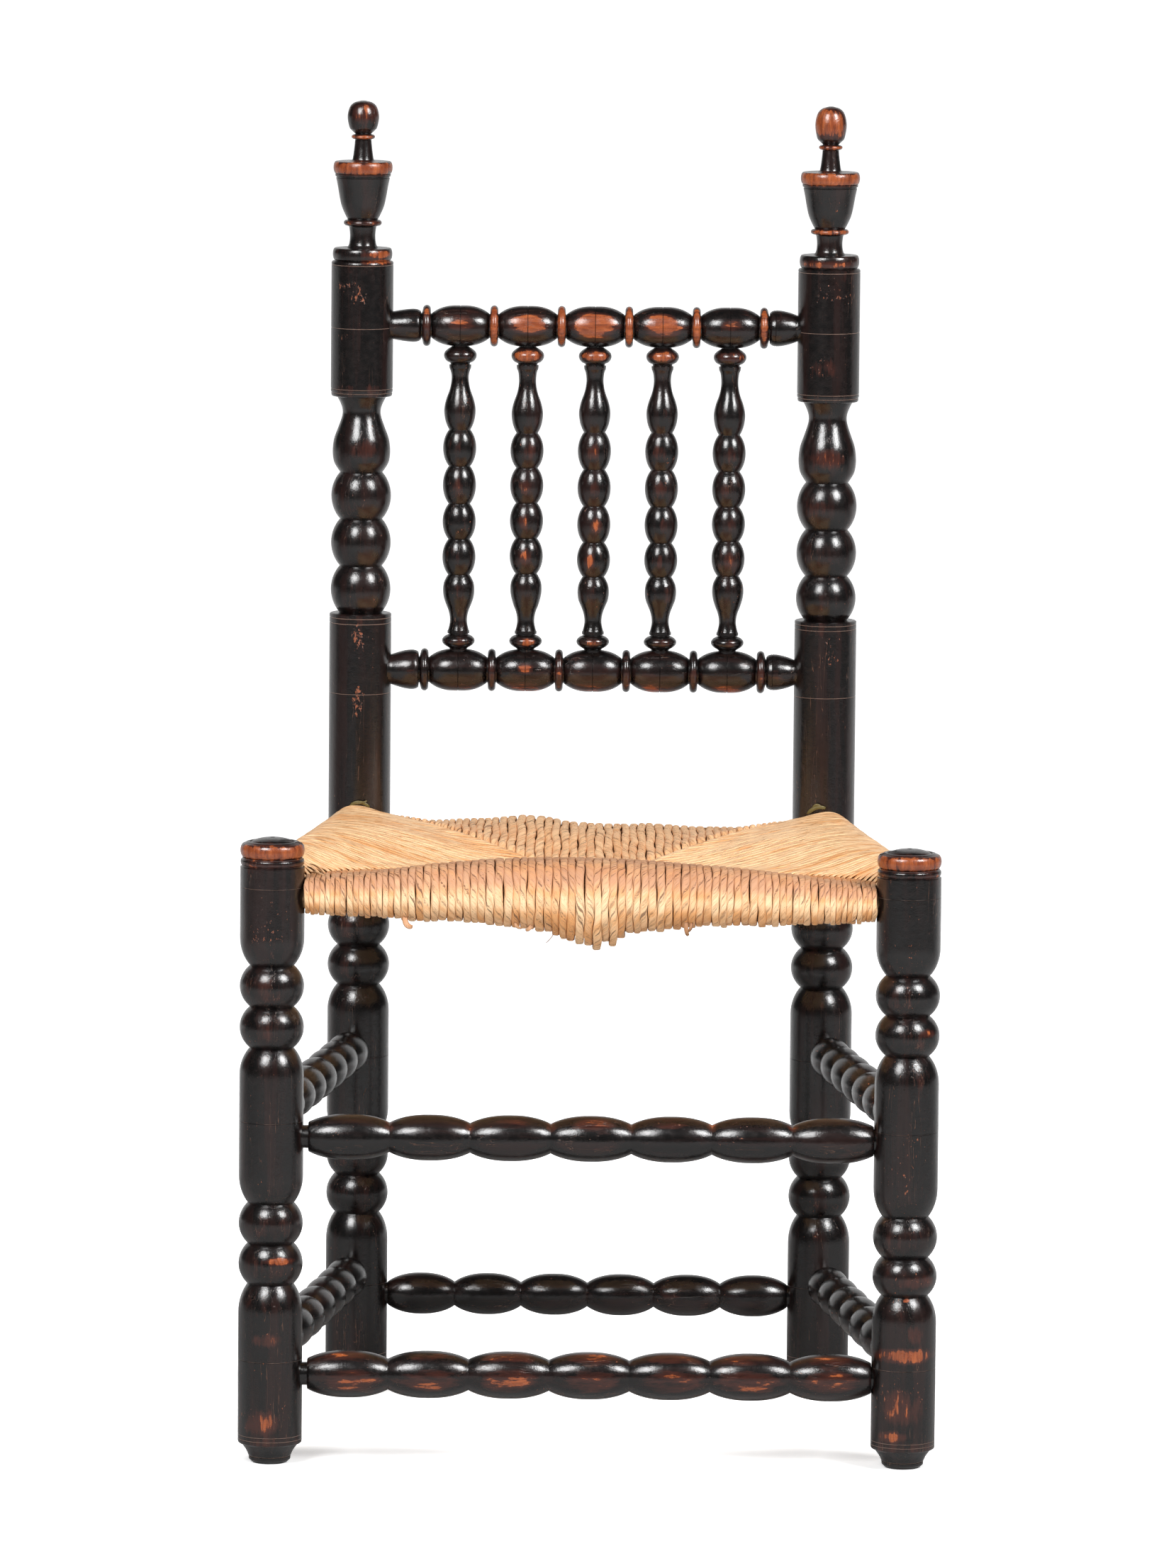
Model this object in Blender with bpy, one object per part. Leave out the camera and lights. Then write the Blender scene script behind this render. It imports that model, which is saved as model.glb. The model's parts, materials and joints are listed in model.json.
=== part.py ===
"""A side chair of turned wood with a rush seat, standing on the floor.

Metres, +Z up, facing -Y. The origin is on the floor, under the middle of the frame.
Every wooden piece is turned on a lathe, so its outline is a list of points (height, radius)
that is spun round its own length. Tables whose names end in SHARES give the points of an
outline as shares of the length and the radius of the piece that they belong to.
"""

import math

import bmesh
import bpy
from mathutils import Matrix, Vector

# Where the posts stand, between their axes, and how tall they are
FRONT_WIDTH = 0.5012
BACK_WIDTH = 0.3818
DEPTH = 0.385
FRONT_HEIGHT = 0.495
BACK_HEIGHT = 1.0564

# The gauge lines scribed on the posts, which the cross pieces are set out from
LOWER_LINE = 0.0806
MIDDLE_LINE = 0.2702
SEAT_LINE = 0.4571
LOWER_RAIL_LINE = 0.571
TOP_RAIL_LINE = 0.8704

# How far from its line each cross piece is bored
FRONT_STRETCHER_DROP = 0.0098
SIDE_STRETCHER_RISE = 0.0076
REAR_STRETCHER_DROP = 0.0098
SEAT_RAIL_DROP = 0.0065
SIDE_SEAT_RAIL_RISE = 0.0061
LOWER_RAIL_RISE = 0.0188
TOP_RAIL_RISE = 0.0025

# Posts: plain blocks where something is bored in, and beads between them
POST_RADIUS = 0.0254
POST_NECK_DEPTH = 0.0071
SHOULDER = 0.022
LOWER_BLOCK_ABOVE_LINE = 0.0585
MIDDLE_BLOCK_BELOW_LINE = 0.0666
MIDDLE_BLOCK_ABOVE_LINE = 0.0589
SEAT_BLOCK_BELOW_LINE = 0.0625
LOWER_CYLINDER_ABOVE_LINE = 0.064
UPPER_CYLINDER_BELOW_LINE = 0.0563
UPPER_CYLINDER_ABOVE_LINE = 0.0517
EDGE_BEVEL = 0.0014
FOOT_HEIGHT = 0.0156
CAP_HEIGHT = 0.0222
BALUSTER_LENGTH = 0.0646
FINIAL_RADIUS = 0.0244

FOOT_SHARES = ((0, 0), (0, 0.55), (0.16, 0.65), (0.35, 0.67), (0.9, 0.86), (1, 0.975))
CAP_SHARES = (
    (0, 0.98), (0.04, 0.93), (0.1, 0.99), (0.24, 0.99), (0.29, 0.935), (0.37, 0.985),
    (0.58, 1), (0.83, 0.9), (0.865, 0.8), (0.85, 0.68), (0.97, 0.4), (1, 0),
)
BALUSTER_SHARES = (
    (0.1, 0.85), (0.26, 0.93), (0.38, 0.92), (0.52, 0.82), (0.68, 0.665), (0.815, 0.618),
    (0.9, 0.68), (0.985, 0.79),
)
FINIAL_SHARES = (
    (0.004, 0.94), (0.04, 1), (0.076, 0.92),
    (0.078, 0.525), (0.11, 0.44), (0.2, 0.455),
    (0.21, 0.615), (0.245, 0.615), (0.25, 0.5),
    (0.29, 0.63), (0.37, 0.75), (0.533, 0.93),
    (0.545, 0.985), (0.575, 1), (0.609, 0.92),
    (0.611, 0.44), (0.64, 0.336), (0.74, 0.275),
    (0.748, 0.39), (0.775, 0.39), (0.78, 0.27),
    (0.82, 0.467), (0.88, 0.53), (0.94, 0.48), (0.98, 0.32), (1, 0),
)

# Round tenons, sunk in sockets bored in the posts
TENON_LENGTH = 0.0148
STRETCHER_TENON_RADIUS = 0.009
RAIL_TENON_RADIUS = 0.0102
CLEARANCE = 0.0003
OVERRUN = 0.004

# Stretchers: a row of barrels between two necks
FRONT_BARREL_RADIUS = 0.0185
FRONT_BARREL_NECK_DEPTH = 0.0062
FRONT_BARREL_COUNT = 7
FRONT_END_NECK = 0.0025
REAR_BARREL_RADIUS = 0.0171
REAR_BARREL_NECK_DEPTH = 0.0072
REAR_BARREL_COUNT = 6
REAR_END_NECK = 0.001
SIDE_BEAD_RADIUS = 0.0169
SIDE_BEAD_NECK_DEPTH = 0.0069
SIDE_BEAD_COUNT = 7
SIDE_END_NECK = 0.001
BARREL_SHOULDER_SHARE = 0.42

# Back rails: a barrel at each spindle, a thin ring between barrels, and an end bead
SPINDLE_COUNT = 5
RAIL_END_LENGTH = 0.0275
TOP_RAIL_RADIUS = 0.0167
LOWER_RAIL_RADIUS = 0.0173
BACK_RAIL_NECK_DEPTH = 0.0066
RAIL_RING_WIDTH = 0.0055
RAIL_SHOULDER_SHARE = 0.39
END_BEAD_LENGTH = 0.0095
END_BEAD_RADIUS = 0.0142
END_SWELL = 0.012

# Spindles: a turned foot and head with four beads between them
SPINDLE_RADIUS = 0.0136
SPINDLE_NECK_DEPTH = 0.0046
SPINDLE_BEADS = 4
SPINDLE_FOOT_LENGTH = 0.0613
SPINDLE_HEAD_LENGTH = 0.0703
SPINDLE_TENON_RADIUS = 0.0067
SPINDLE_TENON_LENGTH = 0.0098

SPINDLE_FOOT_SHARES = (
    (0.02, 0.6), (0.08, 0.96), (0.12, 0.96), (0.195, 0.6), (0.235, 0.67),
    (0.44, 0.53), (0.65, 0.87), (0.82, 0.96),
)
SPINDLE_HEAD_SHARES = (
    (0.2, 0.96), (0.34, 0.86), (0.58, 0.526), (0.755, 0.67), (0.79, 0.6),
    (0.875, 0.96), (0.92, 0.96), (0.985, 0.56),
)

# Seat rails, hidden in the rush
SEAT_RAIL_RADIUS = 0.0105
SEAT_RAIL_TAPER = 0.012
SEAT_RAIL_STEP = 0.0015

# Rush seat: cord wound over four rails, which meets along a mitre from each corner
CORD_DIAMETER = 0.0057
SHELL_WALL = 0.0065
STUFFING_GAP = 0.001
POST_GAP = 0.0006
BRIDGE_LENGTH = 0.066
MIDDLE_DIP = 0.0161
MIDDLE_BELLY = 0.018
FRONT_CREST = 0.011
FRONT_POUCH = 0.0175
FRONT_CREST_LEAN = 0.016
BACK_CREST = 0.002
BACK_POUCH = 0.007
BACK_CREST_LEAN = 0.01
SIDE_CREST = 0.001
SIDE_POUCH = 0.006
SIDE_CREST_LEAN = 0.006

# The slack strands of the front roll gather in the middle of its pouch
GATHERED_SHARE = 0.82
GATHER_POWER = 4

# How finely the round forms are faceted
POST_SIDES = 12
RAIL_SIDES = 8
SPINDLE_SIDES = 8
BEAD_STEPS = 2
SHOULDER_STEPS = 2
ROLL_STEPS = 3
PANEL_STEPS = 3
MITRE_STEPS = 5
HIDDEN_ROLL_STEPS = 2
HIDDEN_PANEL_STEPS = 2
HIDDEN_MITRE_STEPS = 3
WELD = 1e-6
SMOOTH_ANGLE = math.radians(40)

# Cross pieces lie turned a little on their own line, so no edge of a facet meets a socket's edge
FACET_TURN = math.radians(7)

# Colours, as linear red, green and blue
EBONY = (0.014, 0.009, 0.008, 1)
WORN_EBONY = (0.03, 0.014, 0.009, 1)
BARE_RAIL = (0.36, 0.24, 0.14, 1)
STRAW = (0.58, 0.34, 0.13, 1)
OLD_STRAW = (0.4, 0.27, 0.14, 1)
WAXED_ROUGHNESS = 0.33
BARE_ROUGHNESS = 0.7
STRAW_ROUGHNESS = 0.75

UP = Vector((0, 0, 1))
POSTS = {
    "front_post_left": Vector((-FRONT_WIDTH / 2, -DEPTH / 2, 0)),
    "front_post_right": Vector((FRONT_WIDTH / 2, -DEPTH / 2, 0)),
    "back_post_left": Vector((-BACK_WIDTH / 2, DEPTH / 2, 0)),
    "back_post_right": Vector((BACK_WIDTH / 2, DEPTH / 2, 0)),
}
SEAT_RAIL_HEIGHT = SEAT_LINE - SEAT_RAIL_DROP
SIDE_SEAT_RAIL_HEIGHT = SEAT_LINE + SIDE_SEAT_RAIL_RISE
LOWER_RAIL_HEIGHT = LOWER_RAIL_LINE + LOWER_RAIL_RISE
TOP_RAIL_HEIGHT = TOP_RAIL_LINE + TOP_RAIL_RISE
ROLL_RADIUS = SEAT_RAIL_RADIUS + CORD_DIAMETER
SPINDLE_PITCH = (BACK_WIDTH - 2 * (POST_RADIUS + RAIL_END_LENGTH)) / SPINDLE_COUNT


# Outlines of turned pieces

def swell(neck_at, wide_at, neck, wide, steps):
    """A quarter of an ellipse from a neck out to the full radius."""
    turn = math.acos(neck / wide)
    reach = (neck_at - wide_at) / math.sin(turn)
    turns = [turn * (1 - step / steps) for step in range(steps + 1)]
    return [(wide_at + reach * math.sin(t), wide * math.cos(t)) for t in turns]


def barrel(low, high, neck, wide, shoulder, steps):
    """From the neck at low, over a straight middle, to just short of the neck at high."""
    rise = swell(low, low + shoulder, neck, wide, steps)
    fall = swell(high, high - shoulder, neck, wide, steps)
    return rise + fall[:0:-1]


def beads(low, high, count, neck, wide, steps):
    """A row of round beads, whose full radius is at the middle of each."""
    length = (high - low) / count
    points = []
    for place in range(count):
        start = low + place * length
        rise = swell(start, start + length / 2, neck, wide, steps)
        fall = swell(start + length, start + length / 2, neck, wide, steps)
        points += rise[:-1] + fall[:0:-1]
    return points


def outline(shares, low, length, radius):
    """A table of shares as points of the piece that it belongs to."""
    return [(low + along * length, out * radius) for along, out in shares]


def post_foot():
    """The lower part that all four posts share, up to the neck under the seat."""
    neck = POST_RADIUS - POST_NECK_DEPTH
    lower_top = LOWER_LINE + LOWER_BLOCK_ABOVE_LINE
    middle_bottom = MIDDLE_LINE - MIDDLE_BLOCK_BELOW_LINE
    middle_top = MIDDLE_LINE + MIDDLE_BLOCK_ABOVE_LINE
    seat_bottom = SEAT_LINE - SEAT_BLOCK_BELOW_LINE
    points = outline(FOOT_SHARES, 0, FOOT_HEIGHT, POST_RADIUS)
    points.append((FOOT_HEIGHT + EDGE_BEVEL, POST_RADIUS))
    points += swell(lower_top, lower_top - SHOULDER, neck, POST_RADIUS, SHOULDER_STEPS)[:0:-1]
    points += beads(lower_top, middle_bottom, 2, neck, POST_RADIUS, BEAD_STEPS)
    points += barrel(middle_bottom, middle_top, neck, POST_RADIUS, SHOULDER, SHOULDER_STEPS)
    points += beads(middle_top, seat_bottom, 2, neck, POST_RADIUS, BEAD_STEPS)
    points += swell(seat_bottom, seat_bottom + SHOULDER, neck, POST_RADIUS, SHOULDER_STEPS)
    return points


def front_post_outline():
    cap_bottom = FRONT_HEIGHT - CAP_HEIGHT
    return post_foot() + outline(CAP_SHARES, cap_bottom, CAP_HEIGHT, POST_RADIUS)


def back_post_outline():
    neck = POST_RADIUS - POST_NECK_DEPTH
    lower_top = LOWER_RAIL_LINE + LOWER_CYLINDER_ABOVE_LINE
    upper_bottom = TOP_RAIL_LINE - UPPER_CYLINDER_BELOW_LINE
    upper_top = TOP_RAIL_LINE + UPPER_CYLINDER_ABOVE_LINE
    baluster_bottom = upper_bottom - BALUSTER_LENGTH
    points = post_foot()
    points.append((lower_top - EDGE_BEVEL, POST_RADIUS))
    points.append((lower_top, POST_RADIUS - EDGE_BEVEL))
    points += beads(lower_top, baluster_bottom, 3, neck, POST_RADIUS, BEAD_STEPS)
    points.append((baluster_bottom, neck))
    points += outline(BALUSTER_SHARES, baluster_bottom, BALUSTER_LENGTH, POST_RADIUS)
    points.append((upper_bottom, POST_RADIUS - EDGE_BEVEL))
    points.append((upper_bottom + EDGE_BEVEL, POST_RADIUS))
    points.append((upper_top, POST_RADIUS))
    points += outline(FINIAL_SHARES, upper_top, BACK_HEIGHT - upper_top, FINIAL_RADIUS)
    return points


def stretcher_outline(length, count, radius, neck_depth, end_neck):
    """Barrels from one post's face to the other's, on a tenon's radius at both ends."""
    low = POST_RADIUS + end_neck
    high = length - low
    pitch = (high - low) / count
    neck = radius - neck_depth
    shoulder = pitch * BARREL_SHOULDER_SHARE
    points = [(POST_RADIUS, STRETCHER_TENON_RADIUS)]
    for place in range(count):
        start = low + place * pitch
        points += barrel(start, start + pitch, neck, radius, shoulder, BEAD_STEPS)
    return points + [(high, neck), (length - POST_RADIUS, STRETCHER_TENON_RADIUS)]


def bead_row_outline(length, count, radius, neck_depth, end_neck):
    """As a stretcher of barrels, but of beads that are round all the way along."""
    low = POST_RADIUS + end_neck
    neck = radius - neck_depth
    points = [(POST_RADIUS, STRETCHER_TENON_RADIUS)]
    points += beads(low, length - low, count, neck, radius, BEAD_STEPS)
    return points + [(length - low, neck), (length - POST_RADIUS, STRETCHER_TENON_RADIUS)]


def back_rail_outline(length, radius):
    """An end bead, then a ring and a barrel in turn, with a ring last, and an end bead."""
    neck = radius - BACK_RAIL_NECK_DEPTH
    middle = length / 2
    half_run = SPINDLE_PITCH * SPINDLE_COUNT / 2
    shoulder = (SPINDLE_PITCH - RAIL_RING_WIDTH) * RAIL_SHOULDER_SHARE
    bead_at = middle - half_run - RAIL_RING_WIDTH / 2 - END_BEAD_LENGTH
    end_bead = swell(bead_at - END_SWELL, bead_at, RAIL_TENON_RADIUS, END_BEAD_RADIUS, SHOULDER_STEPS)
    points = [(POST_RADIUS, RAIL_TENON_RADIUS)] + end_bead
    for place in range(SPINDLE_COUNT + 1):
        ring_at = middle - half_run + place * SPINDLE_PITCH
        edge = RAIL_RING_WIDTH / 2
        points += [(ring_at - edge, neck), (ring_at, radius)]
        if place < SPINDLE_COUNT:
            low = ring_at + edge
            high = ring_at + SPINDLE_PITCH - edge
            points += barrel(low, high, neck, radius, shoulder, SHOULDER_STEPS)
        else:
            points.append((ring_at + edge, neck))
    mirrored = [(length - along, out) for along, out in end_bead[::-1]]
    return points + mirrored + [(length - POST_RADIUS, RAIL_TENON_RADIUS)]


def seat_rail_outline(length):
    """A plain round rail that tapers to its tenons inside the rush."""
    full = POST_RADIUS + SEAT_RAIL_STEP + SEAT_RAIL_TAPER
    start = POST_RADIUS + SEAT_RAIL_STEP
    points = [(start, STRETCHER_TENON_RADIUS), (full, SEAT_RAIL_RADIUS)]
    return points + [(length - along, out) for along, out in points[::-1]]


def spindle_outline(length):
    low = LOWER_RAIL_RADIUS
    high = length - TOP_RAIL_RADIUS
    neck = SPINDLE_RADIUS - SPINDLE_NECK_DEPTH
    foot_top = low + SPINDLE_FOOT_LENGTH
    head_bottom = high - SPINDLE_HEAD_LENGTH
    points = [(low, SPINDLE_TENON_RADIUS)]
    points += outline(SPINDLE_FOOT_SHARES, low, SPINDLE_FOOT_LENGTH, SPINDLE_RADIUS)
    points += beads(foot_top, head_bottom, SPINDLE_BEADS, neck, SPINDLE_RADIUS, BEAD_STEPS)
    points.append((head_bottom, neck))
    points += outline(SPINDLE_HEAD_SHARES, head_bottom, SPINDLE_HEAD_LENGTH, SPINDLE_RADIUS)
    return points + [(high, SPINDLE_TENON_RADIUS)]


# Solids, finishes and sockets

def finish(name, colour, roughness):
    """The piece's own material."""
    material = bpy.data.materials.new(name + "_finish")
    material.use_nodes = True
    shader = material.node_tree.nodes["Principled BSDF"]
    shader.inputs["Base Color"].default_value = colour
    shader.inputs["Roughness"].default_value = roughness
    material.diffuse_color = colour
    return material


def turn_on_lathe(shape, points, sides, place):
    """Adds the outline, spun round its own Z and put in its place, to a bmesh."""
    before = set(shape.verts)
    line = [shape.verts.new((radius, 0, height)) for height, radius in points]
    edges = [shape.edges.new(ends) for ends in zip(line, line[1:])]
    bmesh.ops.spin(
        shape, geom=line + edges, axis=UP, cent=Vector(), angle=math.tau, steps=sides, use_merge=True
    )
    spun = [vert for vert in shape.verts if vert not in before]
    bmesh.ops.remove_doubles(shape, verts=spun, dist=WELD)
    spun = [vert for vert in shape.verts if vert not in before]
    bmesh.ops.transform(shape, matrix=place, verts=spun)


def add_piece(name, shape, material=None):
    """Turns a bmesh into an object of the scene, with its faces pointing out."""
    bmesh.ops.recalc_face_normals(shape, faces=shape.faces)
    mesh = bpy.data.meshes.new(name)
    shape.to_mesh(mesh)
    shape.free()
    mesh.shade_smooth()
    mesh.set_sharp_from_angle(angle=SMOOTH_ANGLE)
    piece = bpy.data.objects.new(name, mesh)
    bpy.context.scene.collection.objects.link(piece)
    if material:
        mesh.materials.append(material)
    else:
        piece.hide_render = True
        piece.display_type = "WIRE"
    return piece


def cut(piece, cutter):
    modifier = piece.modifiers.new("cut_" + cutter.name, "BOOLEAN")
    modifier.object = cutter
    modifier.operation = "DIFFERENCE"


def along(start, end):
    """The place of a piece whose Z runs from start to end."""
    turn = (end - start).to_track_quat("Z", "Y").to_matrix().to_4x4()
    return Matrix.Translation(start) @ turn @ Matrix.Rotation(FACET_TURN, 4, "Z")


def turned_piece(name, points, sides, place, colour=EBONY, roughness=WAXED_ROUGHNESS):
    shape = bmesh.new()
    turn_on_lathe(shape, points, sides, Matrix())
    piece = add_piece(name, shape, finish(name, colour, roughness))
    piece.matrix_world = place
    return piece


def plain_cylinder(low, high, radius):
    return [(low, 0), (low, radius), (high, radius), (high, 0)]


class Sockets:
    """The round holes of one piece, gathered in one cutter."""

    def __init__(self):
        self.shapes = {}

    def bore(self, owner, place, low, high, radius, sides):
        shape = self.shapes.setdefault(owner, bmesh.new())
        turn_on_lathe(shape, plain_cylinder(low, high, radius + CLEARANCE), sides, place)

    def cut_all(self, pieces):
        for owner, shape in self.shapes.items():
            cut(pieces[owner], add_piece(owner + "_sockets", shape))


def cross_piece(name, first, second, height, tenon_radius, outline_of, pieces, sockets, **look):
    """A turned piece from one post to another, with a tenon in a socket at each end."""
    start = POSTS[first] + UP * height
    end = POSTS[second] + UP * height
    length = (end - start).length
    place = along(start, end)
    sunk = POST_RADIUS - TENON_LENGTH
    points = plain_cylinder(sunk, length - sunk, tenon_radius)
    points[2:2] = outline_of(length)
    pieces[name] = turned_piece(name, points, RAIL_SIDES, place, **look)
    floor = sunk - CLEARANCE
    mouth = POST_RADIUS + OVERRUN
    sockets.bore(first, place, floor, mouth, tenon_radius, RAIL_SIDES)
    sockets.bore(second, place, length - mouth, length - floor, tenon_radius, RAIL_SIDES)
    return place, length


def add_posts(pieces):
    for name, foot in POSTS.items():
        points = front_post_outline() if name.startswith("front") else back_post_outline()
        pieces[name] = turned_piece(name, points, POST_SIDES, Matrix.Translation(foot))


def add_stretchers(pieces, sockets):
    def front(length):
        return stretcher_outline(
            length, FRONT_BARREL_COUNT, FRONT_BARREL_RADIUS, FRONT_BARREL_NECK_DEPTH, FRONT_END_NECK
        )

    def rear(length):
        return stretcher_outline(
            length, REAR_BARREL_COUNT, REAR_BARREL_RADIUS, REAR_BARREL_NECK_DEPTH, REAR_END_NECK
        )

    def side(length):
        return bead_row_outline(
            length, SIDE_BEAD_COUNT, SIDE_BEAD_RADIUS, SIDE_BEAD_NECK_DEPTH, SIDE_END_NECK
        )

    for level, line in (("lower", LOWER_LINE), ("upper", MIDDLE_LINE)):
        cross_piece(
            "front_stretcher_" + level, "front_post_left", "front_post_right",
            line - FRONT_STRETCHER_DROP, STRETCHER_TENON_RADIUS, front, pieces, sockets,
            colour=WORN_EBONY,
        )
        for hand in ("left", "right"):
            cross_piece(
                "side_stretcher_" + hand + "_" + level, "front_post_" + hand, "back_post_" + hand,
                line + SIDE_STRETCHER_RISE, STRETCHER_TENON_RADIUS, side, pieces, sockets,
            )
    cross_piece(
        "rear_stretcher", "back_post_left", "back_post_right",
        LOWER_LINE - REAR_STRETCHER_DROP, STRETCHER_TENON_RADIUS, rear, pieces, sockets,
    )


def add_back(pieces, sockets):
    """The two turned rails and the row of spindles between them."""
    def top(length):
        return back_rail_outline(length, TOP_RAIL_RADIUS)

    def lower(length):
        return back_rail_outline(length, LOWER_RAIL_RADIUS)

    for name, height, outline_of in (
        ("top_back_rail", TOP_RAIL_HEIGHT, top), ("lower_back_rail", LOWER_RAIL_HEIGHT, lower),
    ):
        cross_piece(
            name, "back_post_left", "back_post_right", height, RAIL_TENON_RADIUS, outline_of,
            pieces, sockets, colour=WORN_EBONY,
        )
    length = TOP_RAIL_HEIGHT - LOWER_RAIL_HEIGHT
    foot = LOWER_RAIL_RADIUS - SPINDLE_TENON_LENGTH
    head = length - TOP_RAIL_RADIUS + SPINDLE_TENON_LENGTH
    points = plain_cylinder(foot, head, SPINDLE_TENON_RADIUS)
    points[2:2] = spindle_outline(length)
    for number in range(SPINDLE_COUNT):
        across = (number - (SPINDLE_COUNT - 1) / 2) * SPINDLE_PITCH
        start = Vector((across, DEPTH / 2, LOWER_RAIL_HEIGHT))
        place = Matrix.Translation(start)
        name = "spindle_" + str(number + 1)
        pieces[name] = turned_piece(name, points, SPINDLE_SIDES, place, colour=WORN_EBONY)
        sockets.bore(
            "lower_back_rail", place, foot - CLEARANCE, LOWER_RAIL_RADIUS + OVERRUN,
            SPINDLE_TENON_RADIUS, SPINDLE_SIDES,
        )
        sockets.bore(
            "top_back_rail", place, length - TOP_RAIL_RADIUS - OVERRUN, head + CLEARANCE,
            SPINDLE_TENON_RADIUS, SPINDLE_SIDES,
        )


def add_seat_rails(pieces, sockets):
    """The four bare rails, and one cutter for the tunnels that they fill in the rush."""
    tunnels = bmesh.new()
    for name, first, second, height in (
        ("seat_rail_front", "front_post_left", "front_post_right", SEAT_RAIL_HEIGHT),
        ("seat_rail_back", "back_post_left", "back_post_right", SEAT_RAIL_HEIGHT),
        ("seat_rail_left", "front_post_left", "back_post_left", SIDE_SEAT_RAIL_HEIGHT),
        ("seat_rail_right", "front_post_right", "back_post_right", SIDE_SEAT_RAIL_HEIGHT),
    ):
        place, length = cross_piece(
            name, first, second, height, STRETCHER_TENON_RADIUS, seat_rail_outline,
            pieces, sockets, colour=BARE_RAIL, roughness=BARE_ROUGHNESS,
        )
        tunnel = plain_cylinder(POST_RADIUS / 2, length - POST_RADIUS / 2, SEAT_RAIL_RADIUS + CLEARANCE)
        turn_on_lathe(tunnels, tunnel, RAIL_SIDES, place)
    return tunnels


# Rush seat

def ease(share):
    """Level at both ends and steepest in the middle."""
    return (1 - math.cos(math.pi * share)) / 2


def seat_form(skin, roll_steps, panel_steps, mitre_steps):
    """The closed form of the seat, or one that lies a skin's thickness inside it.

    Each strand runs straight in from its rail until it meets the mitre, where it turns and
    goes over the next rail. So the form is four panels, each a row of cross-sections that
    go round the rail's roll, and two panels meet along each mitre.
    """
    shape = bmesh.new()
    keep_in = POST_RADIUS + POST_GAP + skin
    front_x = FRONT_WIDTH / 2 - keep_in
    back_x = BACK_WIDTH / 2 - keep_in
    corner_y = DEPTH / 2 - keep_in
    tip_x = BRIDGE_LENGTH / 2
    tip_y = corner_y - (back_x - tip_x)
    roll_middle = (SEAT_RAIL_HEIGHT + SIDE_SEAT_RAIL_HEIGHT) / 2
    corner_bottom = roll_middle - ROLL_RADIUS
    middle_top = SEAT_RAIL_HEIGHT + ROLL_RADIUS - MIDDLE_DIP
    middle_bottom = SEAT_RAIL_HEIGHT - ROLL_RADIUS - MIDDLE_BELLY

    def mitre(side, from_front):
        """Points from a corner to the tip of its side panel: x, y, top and bottom."""
        corner_x, y = (front_x, -corner_y) if from_front else (back_x, corner_y)
        corner_top = (SEAT_RAIL_HEIGHT if from_front else roll_middle) + ROLL_RADIUS
        points = []
        for step in range(mitre_steps + 1):
            share = step / mitre_steps
            drop = ease(share)
            points.append((
                side * (corner_x + (tip_x - corner_x) * share),
                y + (tip_y - y) * share,
                corner_top + (middle_top - corner_top) * drop - skin,
                corner_bottom + (middle_bottom - corner_bottom) * drop + skin,
            ))
        return points

    def half_section(reach, roll, crest, lean, end):
        """Out from the roll's face, over its crest and down to the mitre: inward, up."""
        section = []
        for step in range(roll_steps + 1):
            turn = math.pi / 2 * step / roll_steps
            section.append((lean - (lean + roll) * math.cos(turn), crest * math.sin(turn)))
        for step in range(1, panel_steps + 1):
            share = step / panel_steps
            section.append((lean + (reach - lean) * share, crest + (end - crest) * ease(share)))
        return section

    def panel(ends, rail_point, inward, rail_height, crest, pouch, lean, gathered=0):
        """One panel: ends are the points of the mitres along it, in order."""
        rows = []
        for place, (x, y, top, bottom) in enumerate(ends):
            lift = math.sin(math.pi * place / (len(ends) - 1)) ** 2
            start = rail_point(x, y)
            reach = (Vector((x, y)) - start).dot(inward)
            roll = ROLL_RADIUS - skin
            upper = half_section(reach, roll, roll + crest * lift, lean * lift, top - rail_height)
            sag = pouch * (lift * (1 - gathered) + lift ** GATHER_POWER * gathered)
            lower = half_section(reach, roll, roll + sag, lean * lift, rail_height - bottom)
            section = [(across, -down) for across, down in lower[:0:-1]] + upper
            row = []
            for across, up in section:
                spot = start + inward * across
                row.append(shape.verts.new((spot.x, spot.y, rail_height + up)))
            rows.append(row)
        for one, two in zip(rows, rows[1:]):
            for corner in range(len(one) - 1):
                shape.faces.new((one[corner], two[corner], two[corner + 1]))
                shape.faces.new((one[corner], two[corner + 1], one[corner + 1]))
        shape.faces.new(rows[0])
        shape.faces.new(rows[-1][::-1])

    def beside(side):
        """The point of a side rail level with the strand."""
        def rail_point(_, y):
            share = (y + DEPTH / 2) / DEPTH
            return Vector((side * (FRONT_WIDTH + (BACK_WIDTH - FRONT_WIDTH) * share) / 2, y))
        return rail_point

    bridge = (0, tip_y, middle_top - skin, middle_bottom + skin)
    front_ends = mitre(-1, True) + [bridge] + mitre(1, True)[::-1]
    back_ends = mitre(-1, False) + [bridge] + mitre(1, False)[::-1]
    panel(
        front_ends, lambda x, _: Vector((x, -DEPTH / 2)), Vector((0, 1)),
        SEAT_RAIL_HEIGHT, FRONT_CREST, FRONT_POUCH, FRONT_CREST_LEAN, GATHERED_SHARE,
    )
    panel(
        back_ends, lambda x, _: Vector((x, DEPTH / 2)), Vector((0, -1)),
        SEAT_RAIL_HEIGHT, BACK_CREST, BACK_POUCH, BACK_CREST_LEAN,
    )
    for side in (-1, 1):
        panel(
            mitre(side, True) + mitre(side, False)[-2::-1], beside(side), Vector((-side, 0)),
            SIDE_SEAT_RAIL_HEIGHT, SIDE_CREST, SIDE_POUCH, SIDE_CREST_LEAN,
        )
    bmesh.ops.remove_doubles(shape, verts=shape.verts, dist=WELD)
    return shape


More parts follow.
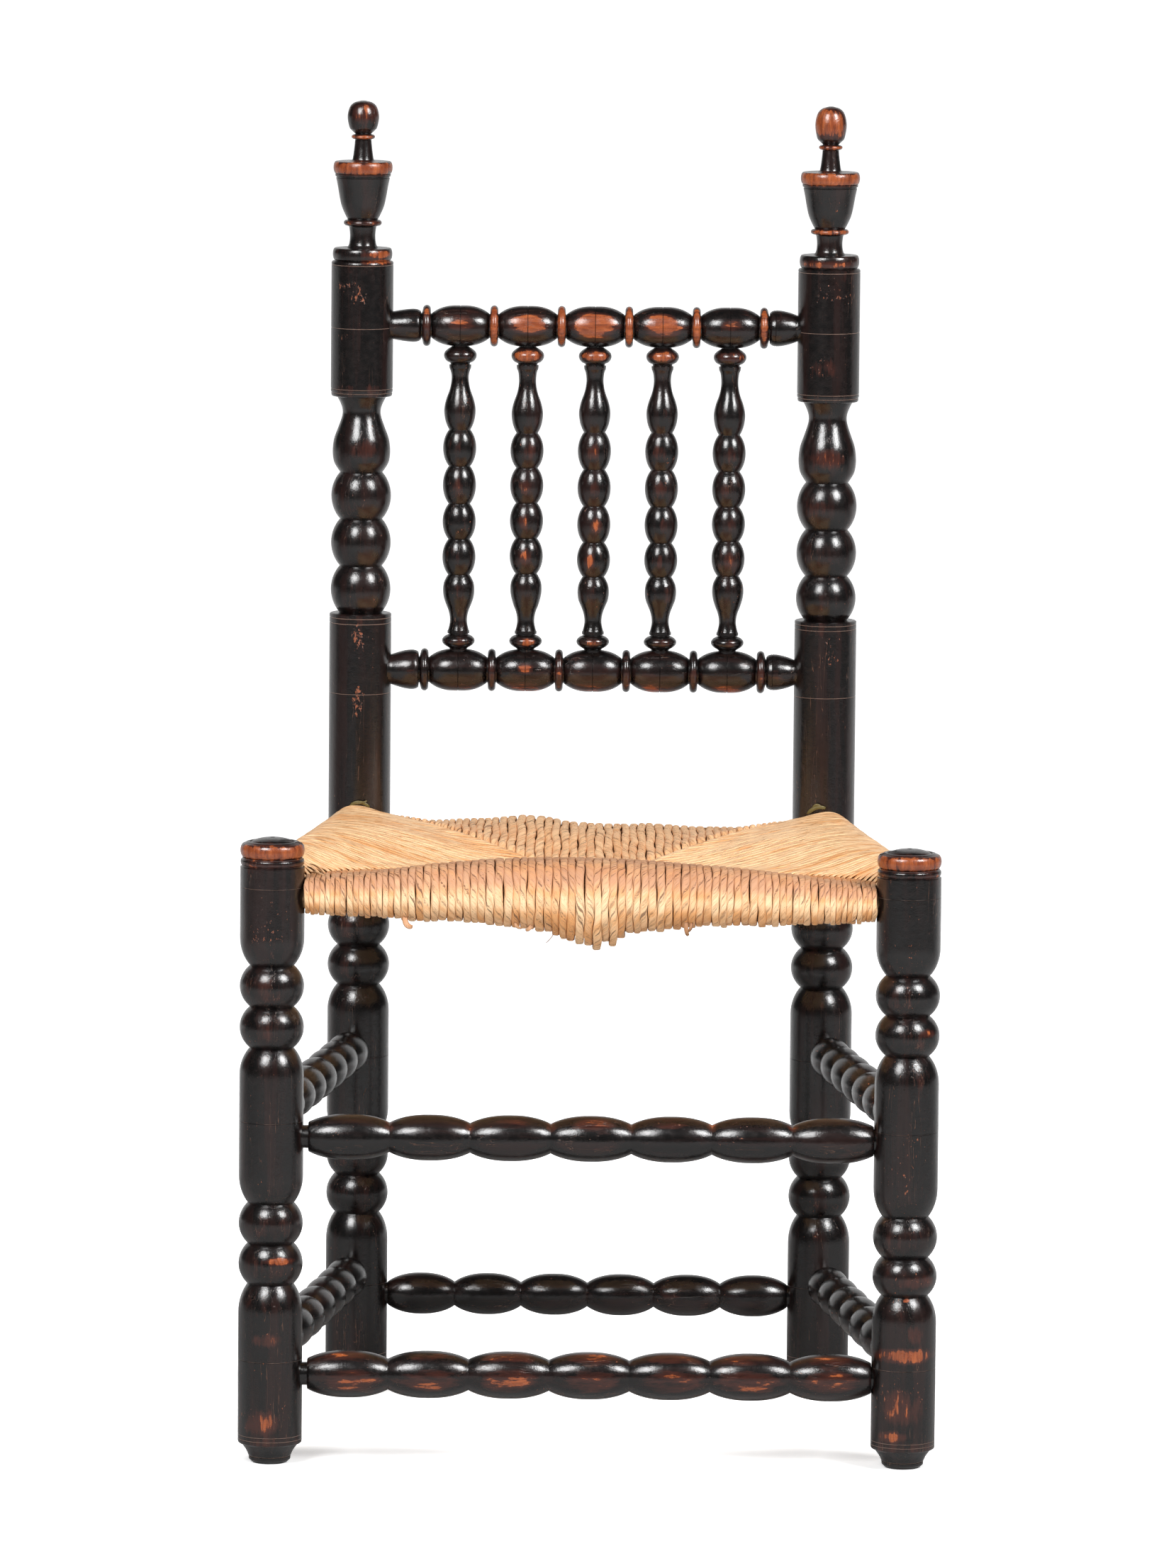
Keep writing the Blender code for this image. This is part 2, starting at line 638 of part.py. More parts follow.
def add_rush(pieces, tunnels):
    """The wound envelope, hollow between its rails, and the packing that fills it."""
    shell = seat_form(0, ROLL_STEPS, PANEL_STEPS, MITRE_STEPS)
    hollow = seat_form(SHELL_WALL, HIDDEN_ROLL_STEPS, HIDDEN_PANEL_STEPS, HIDDEN_MITRE_STEPS)
    packing = seat_form(
        SHELL_WALL + STUFFING_GAP, HIDDEN_ROLL_STEPS, HIDDEN_PANEL_STEPS, HIDDEN_MITRE_STEPS
    )
    pieces["rush_seat"] = add_piece("rush_seat", shell, finish("rush_seat", STRAW, STRAW_ROUGHNESS))
    pieces["rush_stuffing"] = add_piece(
        "rush_stuffing", packing, finish("rush_stuffing", OLD_STRAW, STRAW_ROUGHNESS)
    )
    tunnel_cutter = add_piece("rail_tunnels", tunnels)
    cut(pieces["rush_seat"], add_piece("rush_hollow", hollow))
    cut(pieces["rush_seat"], tunnel_cutter)
    cut(pieces["rush_stuffing"], tunnel_cutter)


def build_chair():
    for leftover in list(bpy.data.objects):
        bpy.data.objects.remove(leftover)
    pieces = {}
    sockets = Sockets()
    add_posts(pieces)
    add_stretchers(pieces, sockets)
    add_back(pieces, sockets)
    tunnels = add_seat_rails(pieces, sockets)
    add_rush(pieces, tunnels)
    sockets.cut_all(pieces)


build_chair()
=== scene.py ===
# %% [markdown]
# # Dressing a turned side chair with a rush seat
# The chair is black-stained wood, turned on a lathe from end to end, with a seat of twisted rush.
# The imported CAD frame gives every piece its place. This lesson gives each piece its fine shape
# and its finish, one step at a time, and every surface is worked out as whole numpy arrays.

import json
import math

import bpy
import numpy as np
from mathutils import Matrix, Vector

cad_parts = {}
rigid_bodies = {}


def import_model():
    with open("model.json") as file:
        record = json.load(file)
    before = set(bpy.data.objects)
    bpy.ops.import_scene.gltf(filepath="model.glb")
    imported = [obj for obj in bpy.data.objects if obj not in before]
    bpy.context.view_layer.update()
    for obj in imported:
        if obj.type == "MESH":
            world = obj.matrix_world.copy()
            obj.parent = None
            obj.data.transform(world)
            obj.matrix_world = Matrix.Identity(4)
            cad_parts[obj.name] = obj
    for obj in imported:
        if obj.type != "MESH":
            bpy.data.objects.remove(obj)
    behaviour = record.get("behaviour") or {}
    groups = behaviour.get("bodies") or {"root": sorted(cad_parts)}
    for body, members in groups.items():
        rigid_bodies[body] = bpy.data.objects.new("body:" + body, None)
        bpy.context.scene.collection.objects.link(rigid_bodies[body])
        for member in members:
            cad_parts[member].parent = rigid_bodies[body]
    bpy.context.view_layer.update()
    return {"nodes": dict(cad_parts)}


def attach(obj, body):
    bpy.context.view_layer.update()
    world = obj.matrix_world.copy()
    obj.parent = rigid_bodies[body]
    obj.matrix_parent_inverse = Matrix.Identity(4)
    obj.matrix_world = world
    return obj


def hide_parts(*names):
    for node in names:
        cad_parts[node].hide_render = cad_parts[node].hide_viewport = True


for leftover in list(bpy.data.objects):
    bpy.data.objects.remove(leftover)
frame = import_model()

# %% [markdown]
# ## The sizes that the pieces are set out from
# A turner marks the posts with gauge lines and bores the cross pieces from them, so the same
# lines place everything here. Heights and radii of turned work are in millimetres, as they
# would be on a turner's pattern stick, and places in the scene are in metres.

# %% Sizes
MM = 0.001
FRONT_WIDTH = 0.5012
BACK_WIDTH = 0.3818
DEPTH = 0.385
LOWER_LINE = 80.6
MIDDLE_LINE = 270.2
SEAT_LINE = 457.1
LOWER_RAIL_LINE = 571.0
TOP_RAIL_LINE = 870.4
LOWER_RAIL_HEIGHT = 589.8
TOP_RAIL_HEIGHT = 872.9
POST_RADIUS = 25.4
POST_NECK = 18.3
SUNK = 3.0
POSTS = {
    "front_post_left": Vector((-FRONT_WIDTH / 2, -DEPTH / 2, 0)),
    "front_post_right": Vector((FRONT_WIDTH / 2, -DEPTH / 2, 0)),
    "back_post_left": Vector((-BACK_WIDTH / 2, DEPTH / 2, 0)),
    "back_post_right": Vector((BACK_WIDTH / 2, DEPTH / 2, 0)),
}
TO_THE_RIGHT = Vector((1, 0, 0))
TO_THE_FRONT = Vector((0, -1, 0))
UP = Vector((0, 0, 1))
SEED = 11
rng = np.random.default_rng(SEED)
print("posts stand", FRONT_WIDTH, "and", BACK_WIDTH, "m apart,", DEPTH, "m deep")

# %% [markdown]
# ## The camera
# A chair looks upright and calm through a long lens from far away. The camera stands a little
# above seat height and looks slightly down, with a small roll, as the photograph does.

# %% Camera
VIEW_DISTANCE = 8.59
VIEW_RISE = math.radians(6.88)
VIEW_ROLL = math.radians(0.49)
VIEW_CENTRE = Vector((-0.0029, 0, 0.5193))
LENS = 245.2
SENSOR_WIDTH = 36

backward = TO_THE_FRONT * math.cos(VIEW_RISE) + UP * math.sin(VIEW_RISE)
unrolled = backward.cross(TO_THE_RIGHT)
rightward = TO_THE_RIGHT * math.cos(VIEW_ROLL) + unrolled * math.sin(VIEW_ROLL)
upward = unrolled * math.cos(VIEW_ROLL) - TO_THE_RIGHT * math.sin(VIEW_ROLL)
camera = bpy.data.objects.new("camera", bpy.data.cameras.new("camera"))
camera.data.lens = LENS
camera.data.sensor_width = SENSOR_WIDTH
turn = Matrix((rightward, upward, backward)).transposed().to_4x4()
camera.matrix_world = Matrix.Translation(VIEW_CENTRE + backward * VIEW_DISTANCE) @ turn
bpy.context.scene.collection.objects.link(camera)
bpy.context.scene.camera = camera
bpy.context.scene.view_settings.view_transform = "Standard"
print("camera at", [round(c, 3) for c in camera.location])

# %% [markdown]
# ## Meshes from arrays
# Every new piece here is a set of rings: a ring of points at each step along a line. One
# function closes any such set into a mesh, whether it is one turned post or sixty strands.

# %% Rings into a mesh
SHARP = math.radians(38)


def mesh_of_rings(name, rings, attributes=None, sharp=True):
    """A mesh object from rings[s, r, k]: tube s, ring r along it, point k round the ring.

    Each four neighbouring points make one face, and each end is closed by a fan of triangles
    to the middle of its last ring. Points run anticlockwise seen against the tube's direction,
    so that faces look outwards.
    """
    tubes, steps, sides = rings.shape[:3]
    points = rings.reshape(-1, 3)
    middles = np.concatenate([rings[:, 0].mean(1), rings[:, -1].mean(1)])
    index = np.arange(tubes * steps * sides).reshape(tubes, steps, sides)
    beside = np.roll(index, -1, axis=2)
    quads = np.stack([index[:, :-1], beside[:, :-1], beside[:, 1:], index[:, 1:]], -1).reshape(-1, 4)
    first = len(points) + np.arange(tubes)[:, None] + 0 * index[:, 0]
    last = first + tubes
    fans = np.concatenate([
        np.stack([beside[:, 0], index[:, 0], first], -1).reshape(-1, 3),
        np.stack([index[:, -1], beside[:, -1], last], -1).reshape(-1, 3),
    ])
    mesh = bpy.data.meshes.new(name)
    everything = np.concatenate([points, middles])
    mesh.vertices.add(len(everything))
    mesh.vertices.foreach_set("co", everything.astype(np.float32).ravel())
    corners = np.concatenate([quads.ravel(), fans.ravel()])
    mesh.loops.add(len(corners))
    mesh.loops.foreach_set("vertex_index", corners.astype(np.int32))
    starts = np.concatenate([np.arange(len(quads)) * 4, quads.size + np.arange(len(fans)) * 3])
    mesh.polygons.add(len(starts))
    mesh.polygons.foreach_set("loop_start", starts.astype(np.int32))
    mesh.update(calc_edges=True)
    mesh.validate()
    mesh.shade_smooth()
    if sharp:
        mesh.set_sharp_from_angle(angle=SHARP)
    for key, values in (attributes or {}).items():
        vector = values.ndim == 4
        flat = values.reshape(-1, 3) if vector else values.reshape(-1)
        ends = np.concatenate([values[:, 0].mean(1), values[:, -1].mean(1)])
        layer = mesh.attributes.new(key, "FLOAT_VECTOR" if vector else "FLOAT", "POINT")
        field = "vector" if vector else "value"
        layer.data.foreach_set(field, np.concatenate([flat, ends]).astype(np.float32).ravel())
    piece = bpy.data.objects.new(name, mesh)
    bpy.context.scene.collection.objects.link(piece)
    return piece


def triangles(piece):
    """A face of n corners counts as n - 2 triangles."""
    return sum(len(face.vertices) - 2 for face in piece.data.polygons)


print("rings become closed meshes")

# %% [markdown]
# ## A pattern language for turned work
# A turner thinks in beads, hollows, fillets and grooves. Each of these is a short function that
# returns points (height, radius, mark), in millimetres, and an outline is a stack of them. The
# mark is 1 at the bottom of a scribed line that is full of black stain, and -1 where the line
# is pale, partly from dust and wax caught in it and partly as a painted glint. A fainter line
# has a mark nearer to 0.

# %% Beads, hollows and grooves


def line(*points):
    """Straight from point to point."""
    return np.array([(height, radius, 0) for height, radius in points], float)


def bead(low, high, neck, wide, flat=0.0, steps=15):
    """Half an ellipse from neck to neck: radius = wide cos t and height = middle + reach sin t."""
    widest = math.acos(neck / wide)
    t = np.linspace(-widest, widest, steps)
    reach = ((high - low - flat) / 2) / math.sin(widest)
    height = (low + high) / 2 + reach * np.sin(t) + np.sign(np.round(t, 9)) * flat / 2
    return np.stack([height, wide * np.cos(t), 0 * t], 1)


def shoulder(neck_at, wide_at, neck, wide, steps=9):
    """A quarter of that ellipse, in order of height."""
    t = np.linspace(math.acos(neck / wide), 0, steps)
    height = wide_at + (neck_at - wide_at) * np.sin(t) / math.sin(t[0])
    points = np.stack([height, wide * np.cos(t), 0 * t], 1)
    return points if neck_at < wide_at else points[::-1]


def ring(low, high, base, out, steps=9):
    """A round moulding that stands on a surface: radius = base + rise cos t."""
    t = np.linspace(-math.pi / 2, math.pi / 2, steps)
    height = (low + high) / 2 + (high - low) / 2 * np.sin(t)
    return np.stack([height, base + (out - base) * np.cos(t), 0 * t], 1)


def hollow(*table, steps=5):
    """A smooth line through a few points, whose slope at each is that between its neighbours."""
    p = np.array(table, float)
    p = np.vstack([2 * p[0] - p[1], p, 2 * p[-1] - p[-2]])
    a, b, c, d = p[:-3, None], p[1:-2, None], p[2:-1, None], p[3:, None]
    t = np.linspace(0, 1, steps, endpoint=False)[:, None]
    spans = b + (t * (c - a) + t**2 * (2 * a - 5 * b + 4 * c - d) + t**3 * (3 * (b - c) + d - a)) / 2
    smooth = np.vstack([spans.reshape(-1, 2), p[-2:-1]])
    return np.column_stack([smooth, np.zeros(len(smooth))])


def scribed(height, radius, wide=0.7, deep=0.35, mark=-1.0):
    """A fine line cut round the work."""
    across = np.array([-wide / 2, -wide / 6, wide / 6, wide / 2])
    depth = np.array([0, deep, deep, 0])
    return np.stack([height + across, radius - depth, (depth > 0) * mark], 1)


def shifted(outline, up):
    """The same outline, higher up the work."""
    return outline + np.array([up, 0, 0])


def finely(outline, longest=2.5):
    """The same outline with more points, so that none lie further apart than the longest."""
    span = np.hypot(*np.diff(outline[:, :2], axis=0).T)
    cuts = np.maximum(np.ceil(span / longest), 1).astype(int)
    low = np.repeat(outline[:-1], cuts, axis=0)
    high = np.repeat(outline[1:], cuts, axis=0)
    share = np.concatenate([np.arange(cut) / cut for cut in cuts])[:, None]
    return np.vstack([low + (high - low) * share, outline[-1:]])


print("a bead has", len(bead(0, 30, 18, 25)), "points")

# %% [markdown]
# ## Spinning an outline
# On the lathe the wood turns and the tool stays still. Here the outline is carried round the
# axis instead, and four things are kept at each point for the finish to read: the place in the
# lathe's own frame, so that grain always runs along the piece; how far the stain has rubbed off,
# which is most where the point stands proud and where a hand or a heel has worn a patch; where a
# line was scribed; and where small flecks of stain have chipped away.

# %% The lathe
FRONTAL = Vector((-0.1, -0.93, 0.35))
UPRIGHT = 0.9
NEARBY = 0.010
LEAST_SWELL = 0.0012
REAR_WEAR = 0.4
GONE = 9


def fading(away):
    """1 in the middle of a soft spot and nothing past a few times its reach: exp(-away^2)."""
    return np.exp(-np.minimum(away, GONE) ** 2)


def patch(bearing, height, patches):
    """How worn each point is: strength exp(-d^4), where d is its distance from the middle of a
    patch as a share of the patch's half length and half width. A patch is (height, half length,
    bearing, half width, strength), in millimetres and degrees, and 0 degrees is the front."""
    worn = 0 * bearing + 0 * height[:, None]
    for at, half_length, aim, half_width, strength in patches:
        along = (height[:, None] / MM - at) / half_length
        turn = (bearing - math.radians(aim) + math.pi) % math.tau - math.pi
        away = along**2 + (turn / math.radians(half_width)) ** 2
        worn = np.maximum(worn, strength * fading(away))
    return worn


def turned(name, outline, start, end, sides, rubbed, *nodes, patches=(), flecks=()):
    """Point (i, j) = start + height_i axis + radius_i (cos a_j across + sin a_j beside)."""
    height, radius, mark = (finely(outline) * np.array([MM, MM, 1])).T
    axis = (end - start).normalized()
    upright = abs(axis.z) > UPRIGHT
    across = TO_THE_RIGHT if upright else axis.orthogonal().normalized()
    beside = axis.cross(across)
    angle = np.linspace(0, math.tau, sides, endpoint=False)
    out = np.cos(angle)[:, None] * np.array(across) + np.sin(angle)[:, None] * np.array(beside)
    rings = (
        np.array(start) + height[:, None, None] * np.array(axis)
        + radius[:, None, None] * out
    )
    near = np.abs(height[:, None] - height) < NEARBY
    highest = np.where(near, radius, 0).max(1)
    lowest = np.where(near, radius, 1).min(1)
    proud = (radius - lowest) / (highest - lowest + LEAST_SWELL)
    facing = np.clip(out @ np.array(FRONTAL), 0, 1)
    wear = rubbed * proud[:, None] ** 2 * (REAR_WEAR + (1 - REAR_WEAR) * facing)
    ahead = TO_THE_FRONT if abs(axis.y) < 0.5 else TO_THE_RIGHT * math.copysign(1, start.x)
    beyond = TO_THE_RIGHT if upright else UP
    bearing = np.arctan2(out @ np.array(beyond), out @ np.array(ahead))
    wear = np.maximum(wear, patch(bearing[None], height, patches))
    ones = np.ones(sides)
    offset = rng.uniform(0, 5, 3)
    lathe = np.stack([
        radius[:, None] * np.cos(angle), radius[:, None] * np.sin(angle), height[:, None] * ones
    ], -1) + offset
    piece = mesh_of_rings(name, rings[None], {
        "lathe": lathe[None], "wear": wear[None], "scribed": (mark[:, None] * ones)[None],
        "flecked": patch(bearing[None], height, flecks)[None],
    })
    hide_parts(*nodes)
    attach(piece, "root")
    return piece


wooden = []
print("wear is judged from in front of the chair, looking along", [round(-c, 2) for c in FRONTAL])

# %% [markdown]
# ## The posts
# All four posts start from one pattern: a small toe, a plain block where the stretchers are
# bored in, a pair of beads, a longer block, two more beads, and the block that takes the seat
# rails. The front posts end in a flat cap. The back posts go on to the finials.

# %% Foot and lower blocks


def lower_post():
    """From the floor up: toe, block, two beads, block, two beads, and the block for the seat."""
    low_top = LOWER_LINE + 58.5
    mid_low = MIDDLE_LINE - 66.6
    mid_top = MIDDLE_LINE + 58.9
    seat_low = SEAT_LINE - 62.5
    full, neck, slim = POST_RADIUS, POST_NECK, 17.3
    half_bead = (mid_low - low_top) / 2
    high_bead = (seat_low - mid_top) / 2
    return [
        line((0, 12.6), (0, 13.6), (0.7, 14.4), (2.6, 16.4), (4.5, 16.6)),
        scribed(5.1, 16.6, 0.8, 0.7),
        hollow((5.7, 16.9), (9.5, 18.7), (14.1, 22)),
        line((14.4, 22.2), (15.2, 24.3), (15.8, 25.1), (17, full)),
        scribed(18.7, full),
        scribed(21.9, full),
        scribed(LOWER_LINE, full, mark=-0.75),
        shoulder(low_top, low_top - 22, neck, full),
        bead(low_top, low_top + half_bead, neck, full),
        bead(low_top + half_bead, mid_low, neck, full),
        shoulder(mid_low, mid_low + 22, neck, full),
        scribed(MIDDLE_LINE, full, mark=-0.7),
        shoulder(mid_top, mid_top - 22, slim, full),
        bead(mid_top, mid_top + high_bead, slim, full),
        bead(mid_top + high_bead, seat_low, slim, full),
        shoulder(seat_low, seat_low + 22, slim, full),
        scribed(SEAT_LINE, full, mark=-0.75),
    ]


print("the lower post has", sum(len(part) for part in lower_post()), "points")

# %% [markdown]
# ## Turned by hand
# No two posts come off a lathe quite alike, and here the beads sit up to about 4 mm higher or
# lower from post to post. One table says how far each height strays, and the shared pattern
# is eased by it, so that a bead moves as a whole and keeps its shape.

# %% Where the hand strayed from the pattern
POST_SIDES = 64
SIDES = ("left", "right")
UNEVEN = {
    "front_post_left": (
        (0, 0), (30, 0.8), (140, 4.0), (205, 4.2), (330, 2.2), (457, 2.2), (495, 3.4),
    ),
    "front_post_right": (
        (0, 0), (130, -0.6), (171, -2.8), (205, -2.6), (330, 0), (395, -1.8), (495, -1.6),
    ),
    "back_post_left": (
        (0, 0), (615, 0), (636, 1.7), (749, 2.7), (814, 0.7), (870, 0.6), (922, 3.8), (957, 3.8),
        (1001, 2.9), (1030, 2.7), (1056.4, 0),
    ),
    "back_post_right": (
        (0, 0), (600, 0), (635, -1.4), (673, -3.3), (711, -3.4), (749, -2.7), (814, -0.7), (922, 0.6),
        (934, 1.2), (957, -0.8), (1001, -2.8), (1030, -2.8), (1056.4, -1.6),
    ),
}


def by_hand(table, name):
    """The table with its heights eased up or down by what UNEVEN says, between its rows."""
    heights, strays = np.array(UNEVEN[name], float).T
    moved = np.array(table, float)
    moved[:, 0] += np.interp(moved[:, 0], heights, strays)
    return moved


def stand(name, outline, rubbed, patches, flecks):
    """Turn a post that stands on its foot, with its outline and its patches as the hand strayed."""
    foot = POSTS[name]
    wooden.append(turned(
        name + "_turned", by_hand(outline, name), foot, foot + UP, POST_SIDES, rubbed, name,
        patches=by_hand(patches, name), flecks=flecks,
    ))


print("posts that stray from the pattern:", len(UNEVEN))

# %% [markdown]
# ## The front posts
# A front post ends a little above the seat in a flat cap of round mouldings. Where the stain has
# rubbed off or chipped is listed by height and bearing, since noise alone would spread it
# evenly, and a real chair wears where it is touched.

# %% Front posts with their caps

# Patches and flecks, as (height, half length, bearing, half width, strength)
FRONT_PATCHES = {
    "left": (
        (485, 7.4, 0, 180, 0.66), (475, 2, 0, 180, 0.4), (160, 3.4, 20, 34, 0.62),
        (34, 12, -20, 36, 0.46), (98, 6, -6, 30, 0.4),
    ),
    "right": (
        (485, 7.4, 0, 180, 0.68), (475, 2, 0, 180, 0.4), (93, 7, -6, 84, 0.6),
        (110, 9, 18, 18, 0.42), (153, 6, 24, 50, 0.42), (137.5, 1.6, 4, 8, 1.0),
        (52, 16, 0, 50, 0.42), (28, 5, -22, 36, 0.48), (350, 4, 40, 24, 0.42),
    ),
}
FRONT_FLECKS = {
    "left": (
        (424, 12, -6, 44, 0.8), (270, 60, 10, 90, 0.12), (90, 26, 0, 70, 0.4), (40, 16, -10, 60, 0.5),
    ),
    "right": (
        (440, 16, 0, 60, 0.3), (270, 60, -10, 90, 0.12), (150, 12, 0, 70, 0.35), (54, 24, 0, 70, 0.6),
    ),
}


def front_post():
    """The lower post and its cap: a step in, a small ring, a large one and a shallow dome."""
    cap = [
        line((472.4, 25.4), (472.9, 24.4), (474, 24.3)),
        ring(474.1, 478.6, 24.2, 25.2, 7),
        line((478.8, 23.7), (479.6, 23.8)),
        ring(479.8, 490.6, 22.4, 25.4, 13),
        line((490.9, 21.6), (491.7, 20.4), (491.9, 18.2), (491.1, 17.5)),
        hollow((491.5, 16.9), (492.8, 14.6), (494.2, 9.5), (494.9, 4), (494.9, 2)),
        line((494.4, 1.2), (494, 0.4)),
    ]
    return np.vstack(lower_post() + cap)


for side in SIDES:
    stand("front_post_" + side, front_post(), 0.34, FRONT_PATCHES[side], FRONT_FLECKS[side])
print("front post:", triangles(wooden[-1]), "triangles")

# %% [markdown]
# ## The back posts
# Above the seat a back post goes on with three beads, a baluster, a plain block for the top rail
# and a finial. It is one outline from toe to tip, as it is one length of wood on the lathe.

# %% Back posts with balusters and finials
FINIAL_START = 922.1
CUP_AND_DISCS = ((999, 6.4, 0, 180, 0.7), (1024, 2.2, 0, 180, 0.56))
BACK_PATCHES = {
    "left": (
        *CUP_AND_DISCS, (953, 2.6, 0, 180, 0.42), (1046, 9, 0, 180, 0.36), (928, 4, 42, 44, 0.62),
        (922, 3, 40, 50, 0.6), (770, 10, 0, 40, 0.36),
    ),
    "right": (
        *CUP_AND_DISCS, (953, 2.6, 0, 180, 0.56), (1044, 15, 0, 180, 0.66), (926, 4, -20, 70, 0.6),
        (842, 10, -10, 30, 0.36), (730, 8, -10, 30, 0.38), (770, 10, 0, 40, 0.4),
    ),
}
BACK_FLECKS = {
    "left": (
        (905, 7, -30, 34, 1.0), (897, 7, -6, 20, 1.2), (864, 3, -34, 20, 1.0), (616, 14, -4, 13, 1.2),
        (566, 18, -4, 12, 1.2),
    ),
    "right": ((900, 12, 10, 40, 0.6), (845, 16, -20, 40, 0.5), (612, 16, 4, 30, 0.8)),
}


def finial():
    """Heights above the top of the upper block: a torus, a neck, a disc, a cup and a knob."""
    parts = [
        ring(0.3, 10.2, 22.6, 24.4, 11),
        hollow((10.3, 12.9), (13.4, 11.1), (20, 10.4), (26.6, 11), (28.2, 11.8)),
        ring(28.4, 33.1, 13.2, 15.6, 7),
        hollow((33.4, 12.3), (37.1, 14.3), (44, 17.2), (51.1, 18.9), (61.7, 20.7), (68.1, 22.0)),
        line((68.6, 21.5), (69.2, 21.6)),
        line((69.6, 22.6), (71.4, 22.8)),
        ring(71.7, 81.9, 22.2, 24.2, 11),
        hollow((82.0, 10.8), (83, 9), (86.2, 8.2), (93.2, 7.3), (99.6, 6.7)),
        ring(100.1, 104.0, 7.2, 9.7, 7),
        hollow(
            (104.5, 6.4), (107, 9.2), (110.1, 11.4), (119.7, 12.9), (128.2, 11.2), (132.4, 7.6), (134.2, 2),
        ),
        line((134.3, 0.4)),
    ]
    return [shifted(part, FINIAL_START) for part in parts]


def back_post():
    """The lower post, then three beads, a baluster, the upper block and the finial."""
    first = LOWER_RAIL_LINE + 64
    table = 749.5
    pitch = (table - first) / 3
    neck, wide, full = 17.3, 24.5, POST_RADIUS
    middle = [
        scribed(LOWER_RAIL_LINE, full),
        scribed(627.6, full, 0.9, 0.5),
        scribed(631.6, full, 0.9, 0.5),
        line((633.9, full), (634.6, 24.7), (634.9, 23.4)),
        *(bead(low, low + pitch, neck, wide) for low in (first, first + pitch, first + 2 * pitch)),
        hollow(
            (749.5, 17.4), (755.5, 21.3), (760.4, 23), (768.3, 23.6), (778.1, 22.4), (788, 18.9),
            (796.9, 16.0), (802.4, 15.7), (807.8, 17.3), (813.3, 20.0),
        ),
        line((813.9, 20.2), (814.1, 23.9), (814.6, 24.7)),
        scribed(817, 25.1, 0.9, 0.6),
        line((818.6, full)),
        scribed(820.3, full, 0.9, 0.6),
        scribed(TOP_RAIL_LINE, full),
        scribed(918.9, full),
        line((920.6, full), (921.6, 24.6), (922, 22.9)),
    ]
    return np.vstack(lower_post() + middle + finial())


for side in SIDES:
    stand("back_post_" + side, back_post(), 0.32, BACK_PATCHES[side], BACK_FLECKS[side])
print("back post:", triangles(wooden[-1]), "triangles")

# %% [markdown]
# ## The stretchers
# The front and rear stretchers are strings of long olives, and the side stretchers are rows of
# rounder beads. All of them are turned between two centres and end in tenons in the posts.

# %% Stretchers
BARRELS = 7
REAR_BARRELS = 6
SIDE_BEADS = 7
BARREL_SIDES = 44
BEAD_SIDES = 40
BARREL_GAPS = (4.4, 0.6)
PLAIN_GAPS = (1, 1)
BELOW_LINE = 9.8


def string_of_beads(length, count, radius, neck, gaps, flat):
    """Equal beads from post to post, with a short plain neck in the gap at each end."""
    low_gap, high_gap = gaps
    low = POST_RADIUS + low_gap
    high = length - POST_RADIUS - high_gap
    pitch = (high - low) / count
    parts = [line((POST_RADIUS - SUNK, 9), (low - 0.6, 9.1), (low - 0.4, neck - 0.6))]
    for place in range(count):
        start = low + place * pitch
        parts.append(bead(start, start + pitch, neck, radius, flat, 23))
    parts.append(line((high + 0.4, neck - 0.6), (high + 0.6, 9.1), (length - POST_RADIUS + SUNK, 9)))
    return np.vstack(parts)


def between(first, second, height):
    """Where a cross piece starts and ends, on the axes of two posts, and how long it is."""
    start = POSTS[first] + UP * (height * MM)
    end = POSTS[second] + UP * (height * MM)
    return start, end, (end - start).length / MM


SIDE_RISE = {
    ("left", "lower"): 10.4, ("right", "lower"): 5.6, ("left", "upper"): 7.9, ("right", "upper"): 6.6,
}
barrel = (FRONT_WIDTH / MM - 2 * POST_RADIUS - sum(BARREL_GAPS)) / BARRELS
necks_at = POST_RADIUS + BARREL_GAPS[0] + barrel * np.arange(BARRELS + 1)
barrels_at = necks_at[:-1] + barrel / 2
HEEL_WORN = [(at, 27, -6, 34, 0.44 + 0.03 * (place % 3)) for place, at in enumerate(barrels_at)]
HEEL_WORN += [(at, 24, 62, 26, 0.42) for at in barrels_at]
TOE_WORN = [(at, 5, 60, 40, 0.46) for at in necks_at[1:-1]]
TOE_WORN += [(at, 18, 48, 20, 0.42) for at in barrels_at[2:5]]
for level_name, line_height, radius, neck, rubbed, patches in (
    ("lower", LOWER_LINE, 18.8, 12.3, 0.4, HEEL_WORN),
    ("upper", MIDDLE_LINE, 18.2, 11.8, 0.38, TOE_WORN),
):
    node = "front_stretcher_" + level_name
    start, end, length = between("front_post_left", "front_post_right", line_height - BELOW_LINE)
    outline = string_of_beads(length, BARRELS, radius, neck, BARREL_GAPS, 4)
    wooden.append(turned(
        node + "_turned", outline, start, end, BARREL_SIDES, rubbed, node, patches=patches,
    ))
    for side in SIDES:
        node = "side_stretcher_" + side + "_" + level_name
        rise = line_height + SIDE_RISE[side, level_name]
        start, end, length = between("front_post_" + side, "back_post_" + side, rise)
        outline = string_of_beads(length, SIDE_BEADS, 16.9, 10.0, PLAIN_GAPS, 0)
        wooden.append(turned(node + "_turned", outline, start, end, BEAD_SIDES, 0.3, node))
start, end, length = between("back_post_left", "back_post_right", LOWER_LINE - BELOW_LINE)
outline = string_of_beads(length, REAR_BARRELS, 17.1, 9.9, PLAIN_GAPS, 3)
node = "rear_stretcher"
wooden.append(turned(node + "_turned", outline, start, end, BARREL_SIDES, 0.34, node))
print("stretchers:", len(wooden) - len(POSTS))

# %% [markdown]
# ## The back
# Two rails hold five spindles. Each rail has an olive at every spindle, with a fine line round
# its middle where the spindle's hole was marked out, and a thin ring between two olives.

# %% Back rails
SPINDLE_PITCH = 55.2
SPINDLES = 5
RAIL_SIDES = 48


